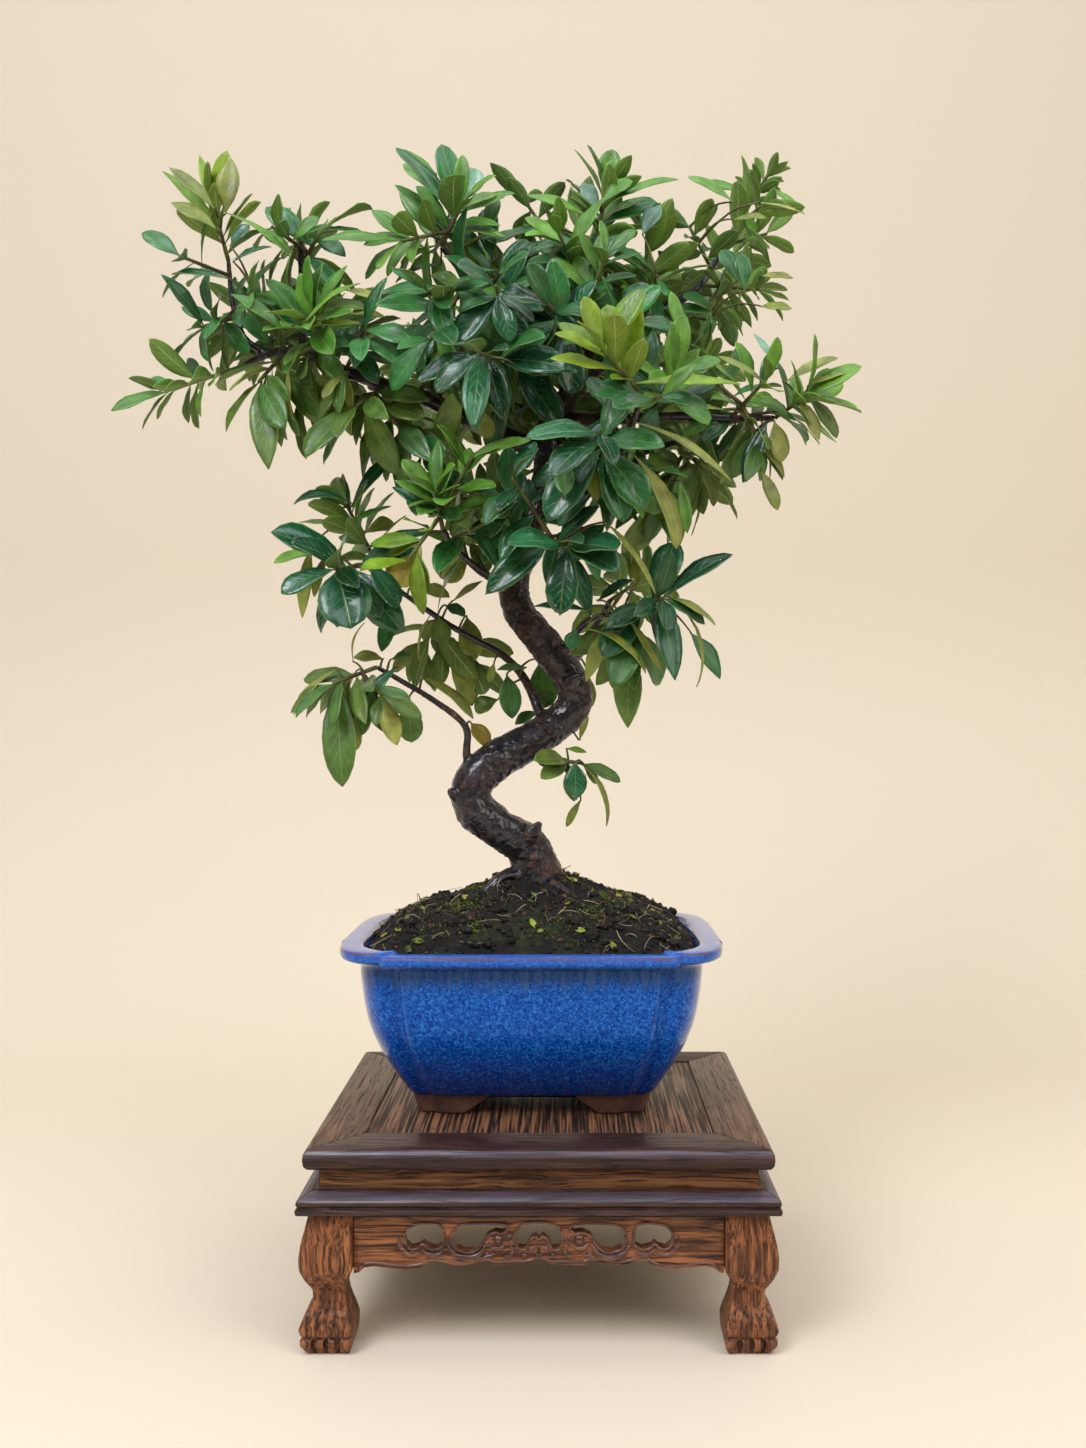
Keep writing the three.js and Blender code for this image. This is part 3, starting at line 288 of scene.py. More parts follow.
def placeCamera():
    camera = bpy.data.cameras.new("camera")
    camera.lens = cameraValues["lens"]
    camera.shift_x = cameraValues["shift"]
    camera.clip_start = 0.01
    holder = linkObject("camera", camera)
    holder.location = toFrame @ Vector(cameraValues["place"])
    holder.rotation_euler = (math.pi / 2, 0, 0)
    scene.camera = holder


def placeLights():
    world = bpy.data.worlds.new("studio")
    scene.world = world
    world.use_nodes = True
    tree = world.node_tree
    values = lightValues["world"]
    direction = axesOf(tree, addNode(tree, "ShaderNodeTexCoord").outputs["Generated"])
    overhead = spread(tree, direction["Z"], *values["ceiling"], values["dimness"], 1.0)
    sideways = spread(tree, calculate(tree, "ABSOLUTE", direction["X"]), *values["sides"])
    feed(tree, tree.nodes["Background"], {
        "Color": mixColours(tree, overhead, values["dim"], values["bright"]),
        "Strength": product(tree, calculate(tree, "ADD", overhead, sideways), values["strength"])})
    for name in ("key", "fill", "strip", "wall"):
        place, aim, size, power, shade = lightValues[name]
        light = bpy.data.lights.new(name, "AREA")
        light.energy = power
        light.shape = "RECTANGLE"
        light.size, light.size_y = size[0] * 0.001, size[1] * 0.001
        light.color = linearColour(shade)[:3]
        holder = linkObject(name, light)
        holder.location = toFrame @ Vector(place)
        holder.rotation_euler = (Vector(aim) - Vector(place)).to_track_quat("-Z", "Y").to_euler()


def placeBackdrop():
    # a floor that bends up into a wall
    values = backdropValues
    bm = bmesh.new()
    start = [bm.verts.new((side * values["halfWidth"], values["front"], 0)) for side in (-1, 1)]
    edges = [bm.edges.new(start)]
    turns = [math.pi / 2 * i / values["bendSteps"] for i in range(values["bendSteps"] + 1)]
    steps = [(values["back"] - values["bend"] - values["front"], 0)]
    for before, after in zip(turns, turns[1:]):
        steps.append((values["bend"] * (math.sin(after) - math.sin(before)),
                      values["bend"] * (math.cos(before) - math.cos(after))))
    steps.append((0, values["height"] - values["bend"]))
    for along, up in steps:
        verts, edges = extrudeEdges(bm, edges)
        bmesh.ops.translate(bm, verts=verts, vec=(0, along, up))
    bmesh.ops.recalc_face_normals(bm, faces=bm.faces)
    bm.transform(toFrame)
    mesh = meshOf(bm, "backdrop")
    mesh.shade_smooth()
    mesh.materials.append(newMaterial("backdrop", values["finish"])[0])
    linkObject("backdrop", mesh)


scene.view_settings.view_transform = "Standard"
placeCamera()
placeLights()
placeBackdrop()
print("camera, lights and backdrop placed")


# The tree as it is built: the same lists and rules as its solids

trunk = [
    (-1, 0, 202, 15), (-2, 0, 213, 15.5), (-4, 0, 222, 13.5), (-10, -2, 235, 11.5), (-25, -6, 245, 11),
    (-37, -8, 256, 11.3), (-38, -8, 268, 11.2), (-28, -5, 279, 11), (-13, 0, 288, 10.5), (5, 5, 299, 10),
    (17, 6, 311, 9.6), (17, 5, 322, 9.6), (9, 2, 335, 9.5), (-2, 0, 349, 9.2), (-13, 0, 363, 8.8),
    (-16, 2, 378, 8.4), (-11, 5, 396, 8), (-4, 6, 417, 7.6), (1, 5, 437, 7.2), (4, 3, 458, 6.8),
    (11, 0, 476, 6.2), (21, -4, 493, 5.5), (27, -6, 513, 4.6), (29, -4, 535, 3.8), (26, 0, 553, 2.6),
]
limbs = {
    "rootLeft": [(-8, -4, 220, 5), (-21, -9, 219, 2.8), (-31, -14, 210, 2.2), (-38, -18, 203, 1.5)],
    "rootFront": [(0, -6, 214, 6.5), (8, -17, 208, 3.8), (17, -29, 200, 2)],
    "rootRight": [(6, 2, 215, 6.5), (19, 6, 209, 3.8), (32, 12, 200, 2)],
    "rootBack": [(-6, 6, 214, 6.5), (-14, 18, 208, 3.8), (-24, 31, 200, 2)],
    "left": [(2, 3, 451, 5.8), (-21, 0, 459, 5.6), (-46, -6, 470, 5), (-67, -10, 479, 4.4),
        (-88, -12, 485, 3.8), (-108, -14, 492, 3.3), (-125, -14, 501, 2.8), (-144, -12, 502, 2.2),
        (-162, -10, 495, 1.8)],
    "leftStub": [(-129, -14, 501, 2.2), (-129, -16, 529, 1.9), (-129, -18, 560, 1.7)],
    "leftRiser": [(-147, -12, 500, 2.2), (-162, -8, 511, 1.9), (-169, -6, 532, 1.7), (-171, -6, 553, 1.4)],
    "crownLeft": [(5, 2, 466, 4.2), (-7, -6, 494, 3.6), (-20, -14, 517, 3), (-34, -20, 533, 2.6),
        (-46, -24, 546, 2.2), (-53, -26, 554, 1.8)],
    "crownRight": [(12, 0, 480, 4.2), (43, 20, 512, 3.6), (70, 30, 538, 3), (90, 35, 554, 2.6),
        (103, 38, 576, 2.1), (115, 38, 595, 1.8)],
    "right": [(7, 0, 468, 4), (31, -5, 467, 3.6), (53, -10, 467, 3), (75, -14, 467, 2.6),
        (101, -16, 465, 2.1), (125, -18, 465, 1.6)],
    "back": [(4, 3, 458, 4.4), (-2, 32, 480, 3.8), (0, 58, 508, 3), (3, 76, 534, 2)],
    "backLeft": [(-2, 30, 478, 3.2), (-30, 50, 494, 2.8), (-60, 66, 508, 2)],
    "backRight": [(-1, 36, 485, 3.2), (36, 54, 497, 2.8), (72, 68, 508, 2)],
    "lowerLeft": [(-38, -8, 264, 3.4), (-41, -10, 284, 2.3), (-41, -14, 299, 2.1), (-60, -20, 315, 1.8),
        (-73, -24, 323, 1.6), (-87, -28, 331, 1.4)],
    "middleLeft": [(1, 5, 300, 3.4), (-7, 10, 320, 2.6), (-13, 12, 330, 2.4), (-23, 12, 340, 2.2),
        (-47, 8, 353, 1.9), (-77, 0, 373, 1.6), (-96, -8, 387, 1.3)],
    "upperLeft": [(-16, 0, 375, 3.2), (-28, -14, 380, 2.6), (-36, -24, 385, 2.2), (-46, -34, 394, 1.8),
        (-51, -40, 402, 1.5)],
    "lowerRight": [(10, 0, 336, 3.4), (19, -14, 351, 2.2), (29, -24, 358, 1.9), (47, -32, 359, 1.5)],
    "lowTwig": [(-4, 0, 292, 2.4), (0, -4, 279, 1.7), (11, -10, 281, 1.3)],
    "lowBack": [(14, 4, 330, 3.4), (25, 30, 349, 2.4), (39, 52, 374, 1.8)],
    "middleBack": [(-2, 4, 412, 3.6), (-16, 30, 424, 2.4), (-34, 52, 438, 1.8)],
    "frontRight": [(-4, 6, 417, 3.8), (16, -24, 424, 2.8), (31, -52, 429, 2.2), (41, -66, 437, 1.9),
        (46, -76, 449, 1.7), (50, -80, 462, 1.5)],
    "rightFan": [(1, 5, 437, 3.8), (32, 12, 444, 3), (57, 20, 455, 2.4), (75, 24, 461, 1.9)],
    "frontLow": [(-11, 5, 396, 3.8), (-5, -22, 396, 2.2), (2, -46, 398, 1.6)],
}


def catmullRom(points, t):
    # centripetal, through all the points, as the solids' bars are
    last = len(points) - 1
    k = min(int(t * last), last - 1)
    weight = t * last - k
    before = points[k - 1] if k > 0 else 2 * points[0] - points[1]
    after = points[k + 2] if k + 2 <= last else 2 * points[last] - points[last - 1]
    row = [before, points[k], points[k + 1], after]
    d0, d1, d2 = [float(np.dot(b - a, b - a)) ** 0.25 for a, b in zip(row, row[1:])]
    x0, x1, x2, x3 = row
    start = ((x1 - x0) / d0 - (x2 - x0) / (d0 + d1) + (x2 - x1) / d1) * d1
    end = ((x2 - x1) / d1 - (x3 - x1) / (d1 + d2) + (x3 - x2) / d2) * d1
    c2 = -3 * x1 + 3 * x2 - 2 * start - end
    c3 = 2 * x1 - 2 * x2 + start + end
    return x1 + start * weight + c2 * weight ** 2 + c3 * weight ** 3


def ringPlaces(stations, steps):
    # middle and radius of each ring, at even steps along the bar
    points = [np.array(s[:3], float) for s in stations]
    divisions = 200
    line = [catmullRom(points, i / divisions) for i in range(divisions + 1)]
    lengths = np.concatenate([[0], np.cumsum([np.linalg.norm(b - a) for a, b in zip(line, line[1:])])])
    places = []
    for i in range(steps + 1):
        t = float(np.interp(i / steps * lengths[-1], lengths, np.arange(divisions + 1))) / divisions
        along = t * (len(stations) - 1)
        k = min(int(along), len(stations) - 2)
        radius = stations[k][3] + (stations[k + 1][3] - stations[k][3]) * (along - k)
        places.append((catmullRom(points, t), radius))
    return places


def barSamples(stations, steps):
    places = ringPlaces(stations, steps)
    samples = []
    for (start, startRadius), (end, endRadius) in zip(places, places[1:]):
        parts = math.ceil(np.linalg.norm(end - start))
        for k in range(parts):
            radius = startRadius + (endRadius - startRadius) * k / parts
            samples.append((start + (end - start) * k / parts, radius))
    return samples


def fixedNoise(i, j, k):
    return (math.sin(i * 12.9898 + j * 78.233 + k * 37.719) * 43758.5453) % 1.0


# How leaves of a kind stand on a shoot: degrees from its line at its foot and its end, how much they rise or
# hang, degrees of bend, and width as a share of length
habits = {
    "young": {"sweep": (62, 26), "lean": 0.3, "bend": 14, "slim": 0.36},
    "bright": {"sweep": (74, 36), "lean": 0.12, "bend": 20, "slim": 0.38},
    "dark": {"sweep": (80, 46), "lean": -0.12, "bend": 28, "slim": 0.4},
    "wet": {"sweep": (82, 48), "lean": -0.5, "bend": 30, "slim": 0.46},
    "hang": {"sweep": (86, 55), "lean": -0.8, "bend": 24, "slim": 0.4},
}

# the way that an aimed leaf's upper side faces
uppers = {
    "tilted": (0, -0.7, 0.7), "forwards": (0, -0.95, 0.3), "upwards": (0, -0.55, 0.8),
    "leftwards": (-0.8, -0.4, 0.2), "rightwards": (0.8, -0.4, 0.3),
    "upLeft": (-0.4, -0.5, 0.7), "upRight": (0.4, -0.5, 0.6),
}

# Each spray: where it starts, then its shoots. A shoot has its end, its number of leaves, their length and
# habit, then its aimed leaves: share of the shoot, tip, width. The later shoots fork from the first.
sprays = {
    "left_top": [(-171, -6, 553),
        ((-179, -8, 584), 7, 34, "young",
         (0.8, (-170, -14, 610), 15), (0.6, (-205, -12, 600), 11), (0.9, (-188, -2, 613), 9))],
    "left_riser": [(-168, -7, 522), ((-182, -20, 513), 4, 30, "dark", (0.9, (-200, -30, 538), 12)),
        ((-150, -34, 527), 5, 32, "dark")],
    "left_stub": [(-129, -17, 547), ((-116, -28, 562), 4, 36, "dark"), ((-144, -22, 566), 4, 32, "dark")],
    "left_rosette": [(-121, -14, 499), ((-117, -46, 511), 10, 36, "bright")],
    "left_tip": [(-162, -10, 495), ((-203, -14, 480), 8, 33, "bright", (0.97, (-231, -18, 469), 12))],
    "left_under": [(-139, -12, 502), ((-148, -34, 480), 4, 42, "hang", (0.9, (-140, -46, 432), 20)),
        ((-132, -2, 482), 4, 40, "hang")],
    "left_middle": [(-106, -14, 491), ((-91, -44, 505), 6, 36, "dark"), ((-112, 22, 538), 7, 34, "dark")],
    "left_hanging": [(-85, -12, 484), ((-96, -40, 466), 4, 42, "hang", (0.8, (-120, -52, 437), 17)),
        ((-72, -26, 456), 4, 42, "hang"), ((-58, -24, 436), 5, 38, "dark")],
    "left_back": [(-131, -14, 501), ((-158, 44, 530), 8, 33, "dark"), ((-110, 40, 500), 7, 34, "hang")],
    "crown_left_top": [(-53, -26, 554), ((-41, -36, 573), 7, 37, "bright", (0.7, (-76, -34, 603), 13)),
        ((-73, -36, 553), 5, 36, "bright", (0.95, (-113, -46, 550), 14)), ((-62, 16, 566), 6, 34, "bright")],
    "crown_left_side": [(-33, -20, 533), ((-58, -52, 522), 6, 36, "dark"), ((-56, -58, 495), 5, 36, "dark"),
        ((-40, -48, 466), 6, 38, "hang")],
    "crown_left_inner": [(-20, -14, 517), ((-22, -64, 520), 7, 34, "wet")],
    "crown_left_front": [(-7, -6, 493), ((-30, -74, 484), 7, 42, "wet", (0.95, (-32, -88, 443), 18))],
    "crown_middle": [(28, -5, 528), ((9, -34, 558), 7, 34, "bright"), ((-11, 8, 593), 7, 32, "dark"),
        ((-24, 32, 558), 6, 34, "dark")],
    "crown_top": [(26, 0, 553),
        ((35, -8, 590), 9, 36, "bright", (0.85, (73, -16, 594), 14), (0.96, (38, -9, 613), 13)),
        ((18, 36, 584), 6, 34, "dark")],
    "crown_centre": [(24, -5, 503), ((4, -64, 511), 7, 36, "wet"), ((34, -56, 540), 7, 28, "bright"),
        ((48, -52, 506), 6, 36, "dark")],
    "crown_young": [(50, -80, 462),
        ((30, -94, 480), 7, 36, "young",
         (0.25, (96, -96, 463), 13), (0.9, (8, -106, 484), 11), (0.95, (50, -100, 507), 13))],
    "crown_right_inner": [(55, 25, 524), ((62, -16, 542), 7, 34, "dark"), ((58, 14, 577), 6, 38, "bright"),
        ((62, 62, 556), 6, 34, "bright")],
    "crown_right_middle": [(90, 35, 554), ((121, 10, 543), 7, 26, "bright"), ((82, 18, 582), 6, 30, "dark"),
        ((92, 0, 524), 5, 30, "dark"), ((98, 62, 552), 6, 34, "dark")],
    "crown_right_top": [(115, 38, 595),
        ((130, 36, 619), 10, 20, "bright", (0.5, (88, 34, 613), 10), (0.75, (150, 36, 597), 9))],
    "right_tip": [(125, -18, 465), ((140, -30, 474), 7, 34, "bright", (0.95, (167, -36, 488), 14))],
    "right_limb": [(101, -16, 465), ((117, -40, 480), 5, 33, "bright"), ((92, 8, 494), 5, 32, "dark"),
        ((114, -36, 448), 4, 36, "hang", (0.7, (107, -48, 426), 18))],
    "right_front": [(58, -11, 467), ((68, -58, 479), 7, 38, "bright")],
    "front_right_big": [(33, -55, 430),
        ((29, -88, 442), 4, 46, "wet", (0.9, (6, -106, 417), 19), (0.6, (4, -86, 399), 20))],
    "right_fan_hanging": [(75, 24, 461), ((88, 2, 442), 6, 42, "hang"),
        ((63, -18, 424), 5, 42, "hang", (0.85, (72, -26, 394), 18)), ((88, 50, 446), 6, 36, "hang")],
    "front_low_big": [(2, -46, 398),
        ((14, -74, 388), 4, 42, "wet", (0.9, (-15, -90, 388), 22), (0.95, (37, -96, 384), 22)),
        ((-14, -66, 424), 6, 36, "wet")],
    "upper_left_bright": [(-51, -40, 402), ((-53, -56, 419), 8, 32, "bright"),
        ((-68, -52, 384), 4, 34, "young"), ((-34, -60, 436), 5, 34, "bright")],
    "middle_left_top": [(-85, -4, 378), ((-106, -12, 420), 8, 33, "bright")],
    "middle_left_big": [(-96, -8, 387), ((-106, -46, 381), 6, 42, "wet", (0.95, (-95, -62, 349), 26))],
    "middle_left_hanging": [(-57, 5, 360), ((-69, 24, 345), 4, 36, "hang"), ((-38, 30, 336), 4, 36, "hang")],
    "lower_left_tip": [(-87, -28, 331),
        ((-108, -40, 322), 5, 38, "hang", (0.9, (-101, -52, 269), 19), (0.97, (-131, -36, 307), 13)),
        ((-82, -46, 316), 3, 30, "hang", (0.9, (-74, -44, 290), 13))],
    "lower_right_front": [(47, -32, 359),
        ((63, -48, 366), 5, 38, "wet", (0.9, (68, -60, 323), 18), (0.97, (99, -42, 389), 12)),
        ((45, -36, 341), 4, 42, "hang", (0.95, (45, -40, 299), 20))],
    "low_twig": [(11, -10, 281),
        ((22, -17, 280), 3, 26, "hang", (0.6, (17, -24, 260), 14), (0.95, (36, -18, 247), 9))],
    "back_crown": [(3, 76, 534), ((8, 92, 564), 7, 34, "bright"), ((-28, 92, 540), 6, 34, "dark"),
        ((36, 94, 530), 6, 34, "dark")],
    "back_right": [(72, 68, 508), ((100, 80, 520), 7, 34, "bright"), ((72, 94, 490), 6, 36, "hang")],
    "back_left": [(-60, 66, 508), ((-84, 80, 524), 7, 34, "bright"), ((-58, 92, 492), 6, 36, "hang")],
    "middle_back": [(-34, 52, 438), ((-58, 66, 446), 6, 36, "dark"), ((-22, 82, 430), 6, 36, "hang")],
    "low_back": [(39, 52, 374), ((60, 66, 389), 6, 36, "dark"), ((30, 72, 356), 4, 34, "hang")],
}

growing = {
    "forkShare": 0.35,
    "stemRadius": (1.15, 0.85),
    "stemPoints": (4, 3),             # how near its foot leaves keep clear of a stem, and at what steps
    "clear": {"otherSpray": 3.3, "sameSpray": 1.9, "wood": 1.6},      # of the leaves that are solids too
    "closer": {"otherSpray": 1.5, "sameSpray": 1.1, "wood": 0.9},     # of the leaves that fill in between
    "turns": [math.radians(turn) for turn in (0, 25, -25, 50, -50, 75, -75, 100, -100)],
    "lengths": (1, 0.8),
    "crownHalf": (220, 60),
    "around": 137.5,                  # degrees from one leaf to the next
    "footShares": (0.3, 0.97),
    "lastLength": 0.82,               # of a shoot's last leaf, beside its first
    "sweepDraw": 16,
    "leanDraw": (0.7, 0.6),           # the least, and how much the draw adds
    "lengthDraw": (0.8, 0.36),
    "reach": 0.56,
}
sampleRows = np.array([0.15, 0.28, 0.4, 0.52, 0.64, 0.76, 0.88, 1])
sampleColumns = np.array([-1, -0.5, 0, 0.5, 1])


def towards(start, end, share):
    return start + (end - start) * share


def unit(vector):
    return vector / np.linalg.norm(vector)


def bladeOutline(shares):
    past = np.clip((shares - 0.06) / 0.94, 0, None)
    return past ** 0.95 * (1 - past) ** 0.65 / 0.3394


def bladeFrames(leaf, shares):
    turn = leaf["bend"] * shares
    sine, cosine = np.sin(turn)[:, None], np.cos(turn)[:, None]
    arc = leaf["direction"] * sine - leaf["upper"] * (1 - cosine)
    middles = leaf["foot"] + leaf["length"] / leaf["bend"] * arc
    uppers = leaf["upper"] * cosine + leaf["direction"] * sine
    return middles, uppers, np.cross(leaf["direction"], leaf["upper"])


def makeLeaf(foot, direction, upper, length, width, bend, habit):
    upper = unit(upper - direction * upper.dot(direction))
    return {"foot": foot, "direction": direction, "upper": upper, "length": length, "width": width,
            "bend": math.radians(bend), "habit": habit}


def leafAlong(foot, tip, upper, width, bend, habit):
    # a bent leaf from its foot to its tip
    length = np.linalg.norm(tip - foot)
    chord = (tip - foot) / length
    upper = np.array(uppers[upper])
    upper = unit(upper - chord * upper.dot(chord))
    half = math.radians(bend) / 2
    direction = chord * math.cos(half) + upper * math.sin(half)
    return makeLeaf(foot, direction, upper, length * half / math.sin(half), width, bend, habit)


def aimedLeaf(start, end, aim, habit):
    share, tip, width = aim
    return leafAlong(towards(start, end, share), np.array(tip), "tilted", width, habits[habit]["bend"], habit)


def shootLeaf(shoot, number, turn, shorter):
    i, j = shoot["ids"]
    habit = habits[shoot["habit"]]
    share = number / (shoot["leaves"] - 1)
    tangent = unit(shoot["end"] - shoot["start"])
    level = unit(np.cross((0, 0, 1), tangent))
    rising = np.cross(tangent, level)
    around = math.radians(growing["around"]) * number + 2 * math.pi * fixedNoise(i, j, 1) + turn
    away = towards(*habit["sweep"], share) + growing["sweepDraw"] * (fixedNoise(i, j, number + 2) - 0.5)
    away = math.radians(away)
    outwards = level * math.cos(around) + rising * math.sin(around)
    direction = tangent * math.cos(away) + outwards * math.sin(away)
    least, drawn = growing["leanDraw"]
    direction[2] += habit["lean"] * (least + drawn * fixedNoise(i, number, j + 5))
    direction = unit(direction)
    foot = towards(shoot["start"], shoot["end"], towards(*growing["footShares"], share))
    halfX, halfY = growing["crownHalf"]
    outward = unit(np.array((foot[0] / halfX, foot[1] / halfY, 0)))
    upper = np.array((0.5 * (fixedNoise(number, i, j + 9) - 0.5), 0, 0.6)) + outward * 0.7 + tangent * 0.2
    least, drawn = growing["lengthDraw"]
    length = shoot["length"] * shorter * (least + drawn * fixedNoise(j, number, i + 3))
    length *= towards(1, growing["lastLength"], share)
    return makeLeaf(foot, direction, upper, length, length * habit["slim"], habit["bend"], shoot["habit"])


# Points along the wood and the shoots, which leaves keep clear of

treeBars = [(trunk, 30)] + [(stations, len(stations) - 1) for stations in limbs.values()]
wood = [sample for stations, steps in treeBars for sample in barSamples(stations, steps)]
barPoints = [point for point, radius in wood[::4]]
barRadii = [radius for point, radius in wood[::4]]
shoots = []
for i, (name, (start, *ends)) in enumerate(sprays.items()):
    start = np.array(start, float)
    fork = towards(start, np.array(ends[0][0], float), growing["forkShare"])
    for j, (end, leaves, length, habit, *aimed) in enumerate(ends):
        shoot = {"spray": name, "start": fork if j else start, "end": np.array(end, float), "leaves": leaves,
                 "length": length, "habit": habit, "aimed": aimed, "ids": (i, j)}
        shoots.append(shoot)
        first, apart = growing["stemPoints"]
        whole = np.linalg.norm(shoot["end"] - shoot["start"])
        out = whole
        while out > first:
            barPoints.append(towards(shoot["start"], shoot["end"], out / whole))
            barRadii.append(growing["stemRadius"][0])
            out -= apart
barPoints, barRadii = np.array(barPoints), np.array(barRadii)

grown = []
roomTaken = {
    "middles": np.zeros((0, 3)), "reaches": np.zeros(0), "sprays": [],
    "samples": np.zeros((0, len(sampleRows) * len(sampleColumns), 3)),
}


def distances(first, second):
    return np.sqrt(((first[:, None, :] - second[None, :, :]) ** 2).sum(2))


def bladeSamples(leaf):
    # points all over a blade
    middles, _, side = bladeFrames(leaf, sampleRows)
    halves = leaf["width"] / 2 * bladeOutline(sampleRows)
    across = side * (halves[:, None, None] * sampleColumns[None, :, None])
    return (middles[:, None, :] + across).reshape(-1, 3)


def standsClear(leaf, spray, clear):
    # keeps the leaf where it is clear of the wood, the shoots and the leaves already there
    samples = bladeSamples(leaf)
    middle = bladeFrames(leaf, np.array([0.5]))[0][0]
    reachOut = leaf["length"] * growing["reach"]
    foot = len(sampleColumns)         # how many of the points are at its foot
    near = np.linalg.norm(barPoints - middle, axis=1) <= reachOut + barRadii + clear["wood"]
    if near.any() and (distances(samples[foot:], barPoints[near]) < barRadii[near] + clear["wood"]).any():
        return False
    taken = roomTaken
    apart = np.linalg.norm(taken["middles"] - middle, axis=1)
    for k in np.nonzero(apart <= reachOut + taken["reaches"] + clear["otherSpray"])[0]:
        same = taken["sprays"][k] == spray
        skip = foot if same else 0
        least = clear["sameSpray"] if same else clear["otherSpray"]
        if (distances(samples[skip:], taken["samples"][k][skip:]) < least).any():
            return False
    taken["middles"] = np.vstack([taken["middles"], middle])
    taken["reaches"] = np.append(taken["reaches"], reachOut)
    taken["samples"] = np.concatenate([taken["samples"], samples[None]])
    taken["sprays"].append(spray)
    grown.append(dict(leaf, spray=spray))
    return True


def growShoot(shoot, clear, allowed=lambda leaf: True):
    # from the end inwards; a leaf that has no room is turned, then made shorter, and else left out
    for number in range(shoot["leaves"] - 1, -1, -1):
        tried = (shootLeaf(shoot, number, turn, shorter)
                 for shorter in growing["lengths"] for turn in growing["turns"])
        any(allowed(leaf) and standsClear(leaf, shoot["spray"], clear) for leaf in tried)


for shoot in shoots:
    for aim in shoot["aimed"]:
        leaf = aimedLeaf(shoot["start"], shoot["end"], aim, shoot["habit"])
        standsClear(leaf, shoot["spray"], growing["clear"])
for shoot in shoots:
    growShoot(shoot, growing["clear"])
print(len(grown), "leaves as in the solids")


# Single leaves on small twigs, by kind: foot's x and z, tip's x and z, y of both, width, bend in degrees and,
# where it isn't tilted as most are, the way its upper side faces. Each moves a little forwards or backwards
# where another is in its way.

